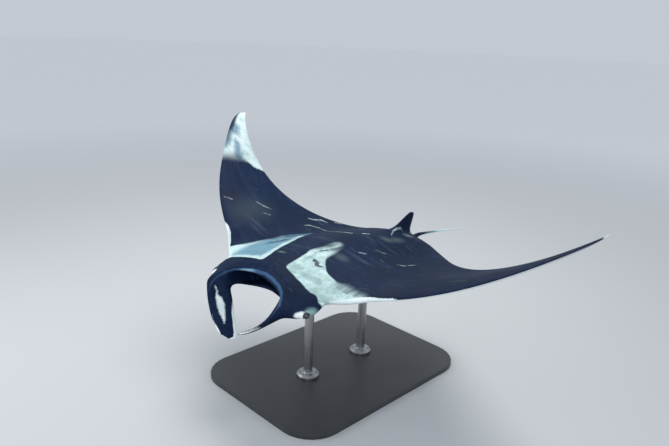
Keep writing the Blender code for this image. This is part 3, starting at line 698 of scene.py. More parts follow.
# Markings, over the flat body. Each side has its own, as on every manta. The pale shoulder
# patches and the white tip of the right wing are closed outlines.
LEFT_PATCH = (
    (0.0337, 0.0672), (0.0268, 0.0785), (0.024, 0.0979), (0.0187, 0.1235), (0.0131, 0.1406),
    (0.0148, 0.1573), (0.016, 0.1774), (0.014, 0.1985), (0.0182, 0.2083), (0.0286, 0.2013),
    (0.0363, 0.1839), (0.043, 0.1677), (0.0493, 0.1432), (0.0675, 0.1242), (0.0834, 0.1138),
    (0.099, 0.1104), (0.1131, 0.108), (0.13, 0.112), (0.156, 0.106), (0.176, 0.098),
    (0.176, 0.08), (0.14, 0.066), (0.1225, 0.0575), (0.1195, 0.0595), (0.1099, 0.062),
    (0.0973, 0.0584), (0.079, 0.0609), (0.0583, 0.0628))
RIGHT_PATCH = (
    (-0.133, 0.056), (-0.1109, 0.0615), (-0.0779, 0.0596), (-0.0505, 0.0582), (-0.0231, 0.0588),
    (-0.0227, 0.0696), (-0.0313, 0.0908), (-0.0447, 0.1224), (-0.0593, 0.1595), (-0.0828, 0.204),
    (-0.0944, 0.2401), (-0.1024, 0.226), (-0.1107, 0.202), (-0.115, 0.1795), (-0.1132, 0.1558),
    (-0.1198, 0.1379), (-0.1298, 0.1182), (-0.1437, 0.0985), (-0.15, 0.09), (-0.154, 0.076))
RIGHT_TIP = (
    (-0.378, 0.17), (-0.368, 0.19), (-0.363, 0.208), (-0.36, 0.218), (-0.355, 0.226),
    (-0.347, 0.235), (-0.335, 0.244), (-0.329, 0.254), (-0.33, 0.28), (-0.42, 0.3), (-0.52, 0.35),
    (-0.525, 0.325), (-0.498, 0.3), (-0.4807, 0.281), (-0.4584, 0.261), (-0.4363, 0.241),
    (-0.4222, 0.226), (-0.4118, 0.215), (-0.405, 0.2), (-0.395, 0.18))
# The right patch is brightest along its front and inner edges
BRIGHT_EDGE = (
    (-0.14, 0.07), (-0.125, 0.06), (-0.0231, 0.0588), (-0.0447, 0.1224), (-0.0828, 0.204))
# Strokes: the points of a line, each with the half width there
DARK_STROKES = (
    ((0.0236, 0.1399, 0.0012), (0.0254, 0.1531, 0.0024), (0.028, 0.1667, 0.002)),
    ((0.04, 0.124, 0.0014), (0.044, 0.1205, 0.0038), (0.05, 0.1215, 0.0034),
     (0.056, 0.115, 0.0042), (0.063, 0.119, 0.0018)),
    ((-0.1002, 0.1252, 0.001), (-0.0952, 0.1351, 0.0022), (-0.0924, 0.1476, 0.003),
     (-0.0896, 0.1734, 0.0024)))
GREY_STROKES = (
    ((-0.4453, 0.251, 0.009), (-0.43, 0.242, 0.008)),
    ((-0.399, 0.229, 0.005), (-0.38, 0.2225, 0.006), (-0.364, 0.215, 0.007)),
    ((-0.438, 0.223, 0.009), (-0.405, 0.202, 0.011)),
    ((0.033, 0.105, 0.004), (0.03, 0.135, 0.003)),
    ((0.062, 0.078, 0.006), (0.09, 0.085, 0.008)))
PALE_LINES = (
    ((-0.1486, 0.2629, 0.0014), (-0.1476, 0.276, 0.0018), (-0.1291, 0.288, 0.0016),
     (-0.0916, 0.2826, 0.0013), (-0.0433, 0.2691, 0.0018), (-0.0132, 0.2712, 0.0024)),
    ((-0.176, 0.2974, 0.001), (-0.1687, 0.3057, 0.0024), (-0.1626, 0.3267, 0.0024),
     (-0.1497, 0.3327, 0.001)),
    ((-0.1454, 0.3527, 0.0016), (-0.1345, 0.3635, 0.001)),
    ((-0.0002, 0.2882, 0.0024), (0.0067, 0.2999, 0.0016)),
    ((0.0594, 0.2169, 0.0018), (0.0676, 0.2258, 0.001)),
    ((0.0638, 0.256, 0.0006), (0.0793, 0.2637, 0.0022)),
    ((0.0817, 0.2376, 0.0008), (0.1099, 0.2314, 0.0006)),
    ((0.126, 0.2452, 0.0006), (0.1404, 0.2525, 0.002)),
    ((0.1423, 0.2611, 0.0016), (0.1486, 0.276, 0.0006)),
    ((-0.2707, 0.1305, 0.0006), (-0.2591, 0.1441, 0.0012)),
    ((-0.2457, 0.1949, 0.0004), (-0.229, 0.2089, 0.0013), (-0.2154, 0.2245, 0.0006)),
    ((-0.2105, 0.1941, 0.0004), (-0.1994, 0.2082, 0.001)),
    ((0.023, 0.3458, 0.0004), (0.007, 0.3706, 0.0014), (0.0053, 0.3819, 0.0014),
     (0.0055, 0.3975, 0.0006), (0.015, 0.399, 0.0)),
    ((0.012, 0.42, 0.0008), (0.005, 0.438, 0.0022), (0.007, 0.448, 0.001)))
# The blotch on the inner face of the right cephalic fin, from its narrow top down
BLOTCH = (
    (-0.0778, 0.0022, -0.0108, 0.0006), (-0.074, 0.0023, -0.0177, 0.001),
    (-0.0714, 0.0007, -0.0245, 0.0016), (-0.069, 0.0, -0.0275, 0.003),
    (-0.0655, 0.0017, -0.032, 0.0052), (-0.0605, 0.001, -0.0393, 0.0066),
    (-0.0545, -0.001, -0.0474, 0.0056), (-0.0489, -0.0029, -0.0541, 0.0038),
    (-0.0428, -0.0045, -0.06, 0.0022), (-0.039, -0.007, -0.0641, 0.0006))
# The rim of the upper lip, painted paler for the sky light on its front, which runs out down the
# front of both cephalic fins
LIP_RIM = (
    (-0.0787, -0.0094, -0.0268, -0.002), (-0.0844, -0.0064, -0.0164, 0.0006),
    (-0.0849, -0.0017, -0.0067, 0.0014), (-0.081, 0.0078, 0.0037, 0.0018),
    (-0.0727, 0.0206, 0.0122, 0.0024), (-0.0566, 0.0277, 0.0187, 0.0028),
    (-0.035, 0.0305, 0.025, 0.0032), (-0.0159, 0.0328, 0.03, 0.0032),
    (0.0179, 0.0361, 0.0329, 0.003), (0.0359, 0.0345, 0.0303, 0.003),
    (0.0552, 0.0317, 0.0257, 0.0028), (0.0675, 0.0271, 0.0202, 0.0028),
    (0.0775, 0.017, 0.0128, 0.0026), (0.0854, 0.0085, 0.0088, 0.0018),
    (0.0885, -0.0025, 0.0021, 0.0008), (0.0829, -0.0077, -0.0086, -0.002))
# Half widths of the white hem of each cephalic fin: down its rear edge, tip, up its front edge
HEM_REAR = (0.0, 0.0026, 0.0036, 0.0042, 0.0044, 0.0042)
HEM_TIP = 0.002
HEM_FRONT = {1: (0.0015, 0.0018, 0.0019, 0.0, 0.0, 0.0),
             -1: (0.0019, 0.0015, 0.0007, 0.0, 0.0, 0.0)}
# White seen from above along the front of the wings: place along the wing and width
WHITE_LINE = {
    1: ((0.0, 0.0), (0.122, 0.0), (0.132, 0.0085), (0.165, 0.0105), (0.2, 0.0062), (0.222, 0.005),
        (0.24, 0.0), (0.6, 0.0)),
    -1: ((0.0, 0.0), (0.125, 0.0), (0.138, 0.0062), (0.15, 0.0066), (0.165, 0.0076),
         (0.182, 0.0076), (0.2, 0.0064), (0.225, 0.0), (0.6, 0.0))}
# Dark spots of the belly: place and radius
SPOTS = (
    (0.012, 0.232, 0.0065), (-0.021, 0.251, 0.008), (0.03, 0.262, 0.005), (-0.004, 0.277, 0.004),
    (-0.044, 0.238, 0.0045), (0.051, 0.245, 0.006), (0.016, 0.3, 0.0055), (-0.03, 0.301, 0.0035),
    (0.066, 0.275, 0.0035), (-0.068, 0.272, 0.0055), (0.0, 0.158, 0.0035), (0.038, 0.322, 0.003),
    (-0.012, 0.335, 0.0045), (0.088, 0.238, 0.004), (-0.093, 0.25, 0.003))


def from_eye(place):
    return (Vector((abs(place[0]), place[1], place[2])) - Vector(EYE_PLACE)).length


def near_gills(place):
    (near, far), (first, last) = GILL_BOX
    return near < abs(place[0]) < far and first < place[1] < last and place[2] < 0.0


def refine(shape, wanted):
    edges = [e for e in shape.edges if all(wanted(v.co) for v in e.verts)]
    bmesh.ops.subdivide_edges(shape, edges=edges, cuts=1, use_grid_fill=True)


def rounded_body():
    """The cage made round, with extra faces where the relief is finest."""
    body = put("flat_body", mesh_of(make_cage(), "flat_body"))
    rounding = body.modifiers.new("rounding", "SUBSURF")
    rounding.levels = rounding.render_levels = ROUNDING
    seen = body.evaluated_get(bpy.context.evaluated_depsgraph_get())
    shape = bmesh.new()
    shape.from_mesh(bpy.data.meshes.new_from_object(seen))
    bpy.data.objects.remove(body)
    refine(shape, near_gills)
    refine(shape, near_gills)
    for reach in EYE_REFINED:
        refine(shape, lambda place: from_eye(place) < reach)
    return mesh_of(shape, "manta_hide")


def read(items, kind, width=3, dtype=float):
    values = np.empty(len(items) * width, dtype)
    items.foreach_get(kind, values)
    return values.reshape(-1, width) if width > 1 else values


def part_masks(mesh):
    """For each part of the cage, which points of the mesh its faces use."""
    parts = read(mesh.polygons, "material_index", 1, int)
    sizes = read(mesh.polygons, "loop_total", 1, int)
    corners = read(mesh.loops, "vertex_index", 1, int)
    corner_parts = np.repeat(parts, sizes)
    masks = np.zeros((TAIL + 1, len(mesh.vertices)), bool)
    for part, mask in enumerate(masks):
        mask[corners[corner_parts == part]] = True
    return masks


def inside(places, stroke):
    """How far each place lies inside a stroke: negative outside."""
    stroke = np.array(stroke, float)
    line, widths = stroke[:, :-1], stroke[:, -1]
    places = places[:, :line.shape[1]]
    most = np.full(len(places), -np.inf)
    for a, b, first, last in zip(line, line[1:], widths, widths[1:]):
        t = np.clip((places - a) @ (b - a) / ((b - a) @ (b - a)), 0, 1)
        away = np.linalg.norm(places - a - t[:, None] * (b - a), axis=1)
        most = np.maximum(most, first + (last - first) * t - away)
    return most


def to_line(places, line):
    return -inside(places, [(*point, 0.0) for point in line])


def most_inside(places, strokes):
    return np.max([inside(places, stroke) for stroke in strokes], axis=0)


def smooth_loop(points, parts=6):
    """A closed curve that passes smoothly through a few points."""
    p1 = np.array(points)
    p0, p2, p3 = (np.roll(p1, by, axis=0) for by in (1, -1, -2))
    runs = [0.5 * (2 * p1 + (p2 - p0) * t + (2 * p0 - 5 * p1 + 4 * p2 - p3) * t**2
                   + (3 * p1 - p0 - 3 * p2 + p3) * t**3) for t in np.arange(parts) / parts]
    loop = np.stack(runs, axis=1).reshape(-1, 2)
    return np.vstack([loop, loop[:1]])


def in_loop(places, points):
    """Distance of each place to a smooth closed outline over the ground: positive inside."""
    loop = smooth_loop(points)
    x, y = places[:, 0], places[:, 1]
    within = np.zeros(len(places), bool)
    for (ax, ay), (bx, by) in zip(loop, loop[1:]):
        if ay != by:
            within ^= ((ay > y) != (by > y)) & (x < ax + (y - ay) * (bx - ax) / (by - ay))
    distance = to_line(places, loop)
    return np.where(within, distance, -distance)


def gill_slits(flat):
    """Signed distance ahead of or behind the nearest slit, and how much of it is open there."""
    side, y = np.abs(flat[:, 0]), flat[:, 1]
    nearest = np.full(len(flat), FAR_OFF)
    opening = np.zeros(len(flat))
    for k in range(GILLS):
        inner, outer = (first + change * k for first, change in (GILL_INNER, GILL_OUTER))
        t = (side - inner) / (outer - inner)
        line = GILL_FIRST + GILL_APART * k
        line = line - 0.006 * np.sin(np.clip(t, 0, 1) * math.pi) + 0.010 * t**2
        away = y - line
        closer = np.abs(away) < np.abs(nearest)
        nearest = np.where(closer, away, nearest)
        ends = smooth_step(-0.02, 0.12, t) * (1 - smooth_step(0.88, 1.02, t))
        opening = np.where(closer, ends, opening)
    return nearest, opening


def folded(distance, folds):
    """Height of a row of soft folds, at a distance from where they are measured."""
    return sum(high * np.exp(-((distance - at) / width)**2) for high, at, width in folds)


def lid_relief(flat):
    """Two lids round each eye: a crest round a sunk opening."""
    away = np.stack([np.abs(flat[:, 0]), flat[:, 1], flat[:, 2]], axis=1) - np.array(EYE_PLACE)
    axis = np.array(EYE_AXIS)
    x, y, z = (away - (away @ axis)[:, None] * axis).T
    reach = np.sqrt((y / LID_STRETCH)**2 + z**2 + (x / LID_STRETCH)**2)
    reach = np.where(away @ axis > -0.004, reach, 1.0)
    return folded(reach, LID_FOLDS) - LID_DEPTH * (1 - smooth_step(0.0040, 0.0052, reach))


def press_relief(flat, normals, masks):
    """Move the flat body's points along its normals, to show what lies in the hide."""
    under = smooth_step(0.2, 0.6, -normals[:, 2]) * masks[OUTSIDE]
    away, opening = gill_slits(flat)
    rise = folded(away, GILL_FOLDS) * opening * under + lid_relief(flat) * masks[OUTSIDE]
    lip = to_line(flat, [point[:3] for point in LIP_RIM])
    over = smooth_step(-0.1, 0.3, normals[:, 2]) * masks[OUTSIDE]
    rise += over * LIP_HEIGHT * folded(lip, LIP_FOLDS)
    deep = flat[:, 1] - ARCH_START
    arches = ARCH_HEIGHT * np.sin(deep / ARCH_APART * 2 * math.pi) * smooth_step(0.0, 0.012, deep)
    rise += arches * masks[MOUTH] * (1 - masks[OUTSIDE])
    return flat + normals * rise[:, None]


def patch_softness(flat):
    """Half the width of the pale patches' edge: wide where they fade over the wings."""
    x, y = flat[:, 0], flat[:, 1]
    over_wing = smooth_step(0.100, 0.130, x) * smooth_step(0.090, 0.102, y)
    over_back = smooth_step(0.125, 0.190, y) * np.where(x > 0, 0.0055, 0.0015)
    away = smooth_step(0.020, 0.045, to_line(flat, BRIGHT_EDGE)) * smooth_step(0.0, -0.02, x)
    return 0.0013 + 0.0105 * over_wing + over_back + 0.0042 * away


def tip_softness(flat):
    """Half the width of the white tip's edge, from the wing's front to its rear."""
    return 0.0190 - 0.0155 * smooth_step(0.205, 0.240, flat[:, 1] + 0.1 * (flat[:, 0] + 0.36))


def white_line(flat, front):
    """How far a place lies inside the white along the front of either wing."""
    lines = []
    for side in (1, -1):
        width = np.interp(flat[:, 0] * side, *zip(*WHITE_LINE[side]))
        seen = np.minimum(width - front, front + 0.0005)
        lines.append(np.where((flat[:, 0] * side > 0) & (width > 0), seen, -FAR_OFF))
    return np.maximum(*lines)


def fin_hem(flat, side):
    """How far a place lies inside the white hem of one cephalic fin."""
    last = len(FIN_LINE) - 1
    edges = [(step, -FIN_EDGE) for step in range(last + 1)] + [(last, 0.0)]
    edges += [(step, FIN_EDGE) for step in range(last, -1, -1)]
    line = [fin_point(side, step, 0.0, wide) for step, wide in edges]
    widths = (*HEM_REAR, HEM_TIP, *HEM_FRONT[side])
    return inside(flat, [(side * x, y, z, width) for (x, y, z), width in zip(line, widths)])


def store(mesh, name, *values, size=DISC_WIDTH):
    """Leave three values at each point, from disc widths to metres."""
    layer = mesh.attributes.new(name, "FLOAT_VECTOR", "POINT")
    together = np.stack(values, axis=1) * size
    layer.data.foreach_set("vector", together.astype(np.float32).ravel())


def store_markings(mesh, flat, normals, masks):
    """Leave at each point what the finish needs."""
    side, y = np.abs(flat[:, 0]), flat[:, 1]
    reach = np.linspace(0, WING_REACH, 400)
    leading, trailing = (np.interp(side, reach, [curve(edge, x) for x in reach])
                         for edge in (LEADING_EDGE, TRAILING_EDGE))
    front, rear = y - leading, trailing - y
    beside_mouth = smooth_step(0.172, 0.145, side) * smooth_step(0.105, 0.078, y)
    under = -normals[:, 2] - 0.90 * beside_mouth
    pale = np.maximum(in_loop(flat, LEFT_PATCH), in_loop(flat, RIGHT_PATCH))
    depth = np.where(masks[MOUTH], y - (0.031 - 1.57 * side**2), NOT_THERE)
    away, opening = gill_slits(flat)
    gill = np.where(opening > 0.3, np.abs(away), FAR_OFF)
    hem = np.maximum(*(np.where(masks[part], fin_hem(flat, at), NOT_THERE)
                       for part, at in ((LEFT_FIN, 1), (RIGHT_FIN, -1))))
    blotch = np.where(masks[RIGHT_FIN], inside(flat, BLOTCH), NOT_THERE)
    fins = masks[LEFT_FIN] | masks[RIGHT_FIN]
    mouth = masks[MOUTH] & ~masks[OUTSIDE] & ~fins
    spots = np.max([r - np.hypot(flat[:, 0] - x, y - at) for x, at, r in SPOTS], axis=0)
    store(mesh, "flat", *flat.T)
    store(mesh, "edges", front, rear, under / DISC_WIDTH)       # under is no length
    store(mesh, "patches", pale, patch_softness(flat), most_inside(flat, DARK_STROKES))
    store(mesh, "tips", in_loop(flat, RIGHT_TIP), tip_softness(flat), white_line(flat, front))
    store(mesh, "strokes", most_inside(flat, PALE_LINES), most_inside(flat, GREY_STROKES), spots)
    store(mesh, "lips", inside(flat, LIP_RIM), depth, gill)
    store(mesh, "fins", blotch, hem, to_line(flat, BRIGHT_EDGE))
    store(mesh, "parts", masks[TAIL], mouth, fins, size=1.0)


# The flat body's own origin is found from the front rod, whose top lies in the belly's socket
low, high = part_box("stand_rod_front")
rod_top = height("belly", 0.0, 0.3) * DISC_WIDTH + ROD_REACH
origin = Vector(((low.x + high.x) / 2, (low.y + high.y) / 2 - ROD_FRONT * DISC_WIDTH,
                 high.z - rod_top))
hide_mesh = rounded_body()
masks = part_masks(hide_mesh)
smooth_flat = read(hide_mesh.vertices, "co")
flat_normals = read(hide_mesh.vertices, "normal")
store_markings(hide_mesh, smooth_flat, flat_normals, masks)
pressed = press_relief(smooth_flat, flat_normals, masks)
placed = raise_wings(pressed) * DISC_WIDTH + np.array(origin)
hide_mesh.vertices.foreach_set("co", placed.ravel())
hide_mesh.update()
hide_mesh.shade_smooth()

# The hide's paint: slate black above, with pale blue-grey shoulder patches, white wing tips and
# a white belly; satin, with a very fine grain, soft folds, faint rays in the wings and short pale
# strokes.

BACK = (0.0028, 0.0105, 0.032)
# paler back: worn smears, and painted light out along the right wing
BACK_WORN_AND_LIT = (0.013, 0.031, 0.083)
BACK_LIGHT = (0.06, 0.105, 0.165)
BACK_BROWN = (0.022, 0.021, 0.04)
PALE = (0.34, 0.52, 0.52)
PALE_BRIGHT = (0.6, 0.78, 0.77)
PALE_BLUE = (0.18, 0.34, 0.43)
PALE_GREY = (0.13, 0.23, 0.28)
PALE_OLIVE = (0.25, 0.36, 0.31)
BELLY = (0.72, 0.8, 0.81)
BELLY_DUSK = (0.2, 0.23, 0.27)
TIP_WHITE = (0.66, 0.79, 0.8)
TIP_GREY = (0.13, 0.25, 0.33)
FIN_WHITE = (0.88, 0.95, 0.96)
# the lip's rim: painted sky light, painted shade and painted highlight
RIM_SKYLIT = (0.056, 0.125, 0.25)
RIM_SHADED = (0.04, 0.082, 0.16)
RIM_HIGHLIGHT = (0.26, 0.44, 0.58)
# painted shade inside the mouth
GULLET_SHADE = (0.003, 0.011, 0.036)
GILL_ARCH = (0.01, 0.024, 0.055)
EYE_WHITE = (0.9, 0.96, 0.98)
# Centre and radii on the flat body, how soft the edge is, how strong the spot is, its colour
OWN_SPOTS = (
    ((0.116, 0.0245, -0.0035), (0.0082, 0.009, 0.0062), 0.35, 1.0, EYE_WHITE),
    ((0.124, 0.04, 0.0), (0.0085, 0.011, 0.0068), 0.6, 0.7, PALE),
    ((-0.108, 0.021, 0.0002), (0.008, 0.0095, 0.006), 0.35, 1.0, EYE_WHITE),
    ((-0.124, 0.04, 0.0), (0.0085, 0.011, 0.0068), 0.6, 0.7, PALE),
    ((-0.0182, 0.1, 0.0465), (0.0085, 0.0036, 0.01), 0.8, 0.35, PALE_OLIVE),
    ((0.058, 0.172, 0.042), (0.012, 0.009, 0.01), 0.9, 0.18, PALE_OLIVE),
    ((0.026, 0.396, 0.027), (0.008, 0.01, 0.009), 0.9, 0.35, PALE_OLIVE),
    ((0.036, 0.315, 0.039), (0.012, 0.008, 0.01), 0.9, 0.2, PALE_OLIVE),
    ((0.043, 0.34, 0.034), (0.009, 0.016, 0.01), 0.9, 0.18, PALE_OLIVE),
    ((-0.225, 0.175, 0.01), (0.03, 0.042, 0.03), 0.9, 0.09, PALE_OLIVE))
RIM_HIGHLIGHT_AT = -0.092             # where the painted highlight on the rim of the lip is brightest
ARCH_SPACING = 0.033
RAYS = 230.0
RELIEF_HEIGHT = 0.0016


def split(finish, vector):
    return [finish.node("SeparateXYZ", None, {0: vector}, gives=k) for k in range(3)]


def stored(finish, name):
    """What the hide holds at each point under a name."""
    return finish.node("Attribute", {"attribute_name": name}, gives="Vector")


def painted(finish, name):
    return split(finish, stored(finish, name))


def from_spot(finish, flat, centre, radii):
    """Distance on the flat body from the middle of an egg-shaped spot: 1 at its edge."""
    away = finish.vectors("SUBTRACT", flat, [c * DISC_WIDTH for c in centre])
    scaled = finish.vectors("MULTIPLY", away, [1 / (r * DISC_WIDTH) for r in radii])
    return finish.vectors("LENGTH", scaled, gives="Value")


def hide_finish():
    hide = Finish("manta_hide", Specular_IOR_Level=0.07)
    step, blend = hide.step, hide.blend
    flat = stored(hide, "flat")
    x, y, _ = painted(hide, "flat")
    front, rear, under = painted(hide, "edges")
    pale_in, softness, dark_in = painted(hide, "patches")
    tip_in, tip_soft, line_in = painted(hide, "tips")
    pale_line_in, grey_in, spot_in = painted(hide, "strokes")
    rim_in, depth, gill = painted(hide, "lips")
    blotch_in, hem_in, bright_edge = painted(hide, "fins")
    tail, mouth, fin = painted(hide, "parts")
    side = hide.maths("ABSOLUTE", x)

    clouds = hide.noise(flat, 1.6, 5.0, 0.55)
    mottle = hide.noise(flat, 9.0, 6.0, 0.62)
    feather = hide.noise(flat, 34.0, 6.0, 0.65)
    fray = hide.noise(hide.vectors("MULTIPLY", flat, (1.0, 0.35, 1.0)), 90.0, 4.0, 0.6)
    grain = hide.noise(flat, 420.0, 3.0, 0.6)
    streaks = hide.drawn_out(flat, (26.0, 4.0, 5.0), 4.0, 0.55)
    smears = hide.drawn_out(flat, (3.0, 9.0, 3.0), 5.0, 0.6)
    wisps = hide.drawn_out(flat, (2.6, 24.0, 4.0), 5.0, 0.62)
    uneven, downy, frayed = mottle - 0.5, feather - 0.5, fray - 0.5
    ragged = uneven * 0.016 + downy * 0.016 + frayed * 0.008

    # the back: worn paler in long smears, painted light out along the right wing, brown low on
    # wing fronts
    worn = step(clouds * 0.5 + smears * 0.5 + downy * 0.2, 0.42, 0.66)
    # painted light: paler out along the right wing, for the light and water haze that brighten it
    # there
    outer = step(side, 0.35, 1.0) * step(x, 0.6, -0.4)
    flecks = step(feather * 0.6 + mottle * 0.4, 0.40, 0.62)
    colour = blend(worn * 0.40 + outer * 0.30 + flecks * 0.22, BACK, BACK_WORN_AND_LIT)
    wispy = step(wisps, 0.54, 0.70) * step(clouds, 0.40, 0.58) * step(y, 0.32, 0.60)
    colour = blend(wispy * 0.50, colour, BACK_LIGHT)
    brown = step(mottle * 0.5 + clouds * 0.5, 0.44, 0.60) * step(front, 0.45, 0.05)
    colour = blend(brown * step(side, 0.5, 0.8) * 0.50, colour, BACK_BROWN)

    # the left shoulder patch: pale green-grey, clouded, combed thin where it runs out
    patch = step(pale_in + ragged * 0.80, 0.0 - softness, softness)
    greyer = step(mottle * 0.55 + feather * 0.45, 0.44, 0.64)
    cloudy = step(hide.noise(flat, 5.5, 6.0, 0.68) + x * 0.25, 0.46, 0.68)
    greenish = blend(feather, PALE, PALE_OLIVE)
    pale = blend(cloudy * 0.85, PALE_BRIGHT, greenish)
    pale = blend(greyer * 0.36, pale, blend(streaks, PALE_GREY, PALE_OLIVE))
    smoke = step(y + uneven * 0.3, 0.46, 0.66) * step(streaks, 0.62, 0.40)
    combed = step(streaks, 0.35, 0.68) * step(softness, 0.012, 0.036)

    # the right one: blue-grey, bright along its inner edge and at its outer corner
    lit = step(bright_edge + uneven * 0.05 + downy * 0.03, 0.050, 0.012)
    dull = step(mottle * 0.5 + feather * 0.5, 0.42, 0.62) * 0.55
    other = blend(dull, PALE_BLUE, PALE_GREY)
    other = blend(lit * 0.80 + step(x, -0.38, -0.48) * 0.9, other, PALE_BRIGHT)
    pale = blend(step(x, -0.01, 0.01), other, pale)
    mark = step(dark_in + frayed * 0.026 + downy * 0.016, -0.005, 0.005)
    grey = step(grey_in + ragged, -0.012, 0.012)
    thin = (1 - mark * 0.85) * (1 - combed * 0.66) * (1 - smoke * 0.75) * (1 - mouth)
    pale = blend(step(streaks * 0.5 + fray * 0.5, 0.52, 0.66) * 0.30, pale, PALE_GREY)
    colour = blend(patch * thin, colour, blend(grey * 0.4, pale, PALE_GREY))

    # white wing tips, the right one far larger than the left and shadowed with grey
    left_tip = step(x + ragged * 0.5, 1.712, 1.730)
    tip = step(tip_in + ragged * 1.2, 0.0 - tip_soft, tip_soft) + left_tip
    clouded = step(mottle * 0.6 + feather * 0.4, 0.42, 0.62)
    shadowy = step(grey_in + ragged * 2.0, -0.036, 0.018) * 0.85
    tip_colour = blend(shadowy, blend(clouded * 0.62, TIP_WHITE, greenish), TIP_GREY)
    colour = blend(tip, colour, tip_colour)

    # the white belly, dusky along the rear of the wings, with dark spots and gill slits
    belly = step(under + downy * 0.22 + frayed * 0.10, 0.12, 0.24)
    belly = hide.maths("MAXIMUM", belly, step(line_in + frayed * 0.012, -0.002, 0.004))
    dusk = step(rear + ragged * 5.0, 0.16, 0.01) * step(side, 0.45, 0.90)
    dusk = dusk + step(side + ragged * 8.0, 1.45, 1.72) * 0.6
    white = blend(dusk, blend(greyer * 0.25, BELLY, PALE), BELLY_DUSK)
    spots = step(spot_in + downy * 0.014, -0.003, 0.003)
    slit = step(gill, 0.0040, 0.0012)
    white = blend(spots * 0.9 + slit * 0.85, white, BACK)
    colour = blend(belly * (1 - fin) * (1 - mouth), colour, white)

    # inside the mouth, painted shade: near black, with faint gill arches far back
    arches = step(hide.maths("SINE", y * (2 * math.pi / ARCH_SPACING)), 0.2, 1.0)
    gullet_shade = blend(arches * step(depth, 0.10, 0.18), GULLET_SHADE, GILL_ARCH)
    colour = blend(mouth, colour, gullet_shade)

    # a blue-grey rim along the upper lip and down the fins, painted light for the sky light on it
    rim = step(rim_in + downy * 0.010, -0.007, 0.008)
    # painted shade: the rim dimmer on the animal's right
    lit_rim_colour = blend(step(x, -0.16, -0.26), RIM_SKYLIT, RIM_SHADED)
    # painted highlight: the rim brightest right of its middle
    beside = hide.maths("ABSOLUTE", x - RIM_HIGHLIGHT_AT) + downy * 0.05
    rim_highlight = step(beside, 0.090, 0.020) * step(rim_in, -0.002, 0.009)
    colour = blend(rim * 0.82, colour, blend(rim_highlight, lit_rim_colour, RIM_HIGHLIGHT))

    # the cephalic fins: dark on both faces, hemmed in white, a blotch inside the right one
    hem = step(hem_in + frayed * 0.005, -0.002, 0.003)
    blotch = step(blotch_in + frayed * 0.014 + downy * 0.022, -0.007, 0.009)
    colour = blend(blotch, colour, blend(clouded * 0.30, FIN_WHITE, PALE))
    colour = blend(hem, colour, FIN_WHITE)

    # the tail is dark at its root, then white
    tail_colour = blend(step(y + ragged, 1.78, 1.92), PALE_BLUE, TIP_WHITE)
    colour = blend(tail * step(y + ragged, 1.66, 1.84), colour, tail_colour)

    # spots of their own: by each eye, on the nape and round the foot of the dorsal fin
    for centre, radii, soft, strength, tint in OWN_SPOTS:
        reach = from_spot(hide, flat, centre, radii) + downy * 0.8
        spot = step(reach, 1.0 + soft, 1.0 - soft) * (1 - mouth)
        colour = blend(spot * strength, colour, tint)

    # short pale strokes along the listed lines
    stroke = step(pale_line_in + frayed * 0.014, -0.0045, 0.0045)
    stroke = stroke * step(hide.noise(flat, 22.0, 2.0), 0.22, 0.50)
    turned = hide.node("Mapping", None,
                       {"Vector": flat, "Rotation": (0.0, 0.0, 0.9), "Scale": (6.0, 62.0, 6.0)})
    hair = step(hide.noise(turned, 1.0, 2.0, 0.4), 0.70, 0.76) * (1 - mouth)
    colour = blend(stroke * 0.52 + hair * 0.08, colour, PALE_BRIGHT)
    hide.colour(colour, 0.48 + 0.14 * mottle + 0.10 * feather)

    # relief: grain, soft folds near the mouth, rays fanning out in the wings
    fan = hide.maths("ARCTAN2", y - 0.55, side + 0.35)
    rays = hide.maths("SINE", fan * RAYS + mottle * 5.0)
    rays = rays * step(side, 0.55, 1.0) * step(rear, 0.02, 0.2)
    folds = hide.drawn_out(flat, (10.0, 34.0, 22.0)) * step(rim_in, -0.20, 0.0)
    relief = grain * 0.22 + feather * 0.5 + folds * 0.9 + rays * 0.22 - slit * 2.0
    hide.bump(relief, RELIEF_HEIGHT, 0.55)
    return hide


flesh = hide_finish()
hide_mesh.materials.clear()
hide_mesh.materials.append(flesh.material)
hide_mesh.polygons.foreach_set("material_index", np.zeros(len(hide_mesh.polygons), int))
skin = put("manta_skin", hide_mesh)
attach(skin, "root")
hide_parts("head", "trunk", "dorsal_fin", "tail_base", "tail_whip",
            "wing_inner_left", "wing_inner_right", "wing_outer_left", "wing_outer_right",
            "cephalic_fin_left", "cephalic_fin_right", "pelvic_fin_left", "pelvic_fin_right")


# Eyes. A glass ball in each socket: a dark brown iris round a wide, level pupil, under a clear
# cornea that stands a little proud of the ball.

EYE_RADIUS = 0.021
EYE_RINGS = 28
EYE_SIDES = 56
CORNEA_RISE = 0.0012
CORNEA_REACH = 0.45             # in radians from the middle
IRIS = (0.016, 0.014, 0.013)
IRIS_LIGHT = (0.03, 0.028, 0.026)
PUPIL = (0.002, 0.002, 0.003)
EYE_EDGE = (0.008, 0.011, 0.017)
IRIS_THREADS = 46.0


def eye_finish():
    eye = Finish("eye", Roughness=0.06, Coat_Weight=1.0, Coat_Roughness=0.02)
    place = eye.place()
    x, y = split(eye, eye.vectors("MULTIPLY", place, (1 / EYE_RADIUS,) * 3))[:2]
    reach = eye.maths("SQRT", x * x + y * y)
    threads = eye.drawn_out(place, (300.0,) * 3)
    angle = eye.maths("ARCTAN2", y, x)
    rays = eye.maths("SINE", angle * IRIS_THREADS + threads * 6.0) * 0.5 + 0.5
    iris = eye.blend(rays * 0.6 * eye.step(reach, 0.25, 0.5), IRIS, IRIS_LIGHT)
    iris = eye.blend(eye.step(reach, 0.56, 0.66), iris, EYE_EDGE)
    slot = eye.maths("SQRT", x * x * 0.42 + y * y * 2.2)
    eye.colour(eye.blend(eye.step(slot, 0.30, 0.25), iris, PUPIL))
    return eye


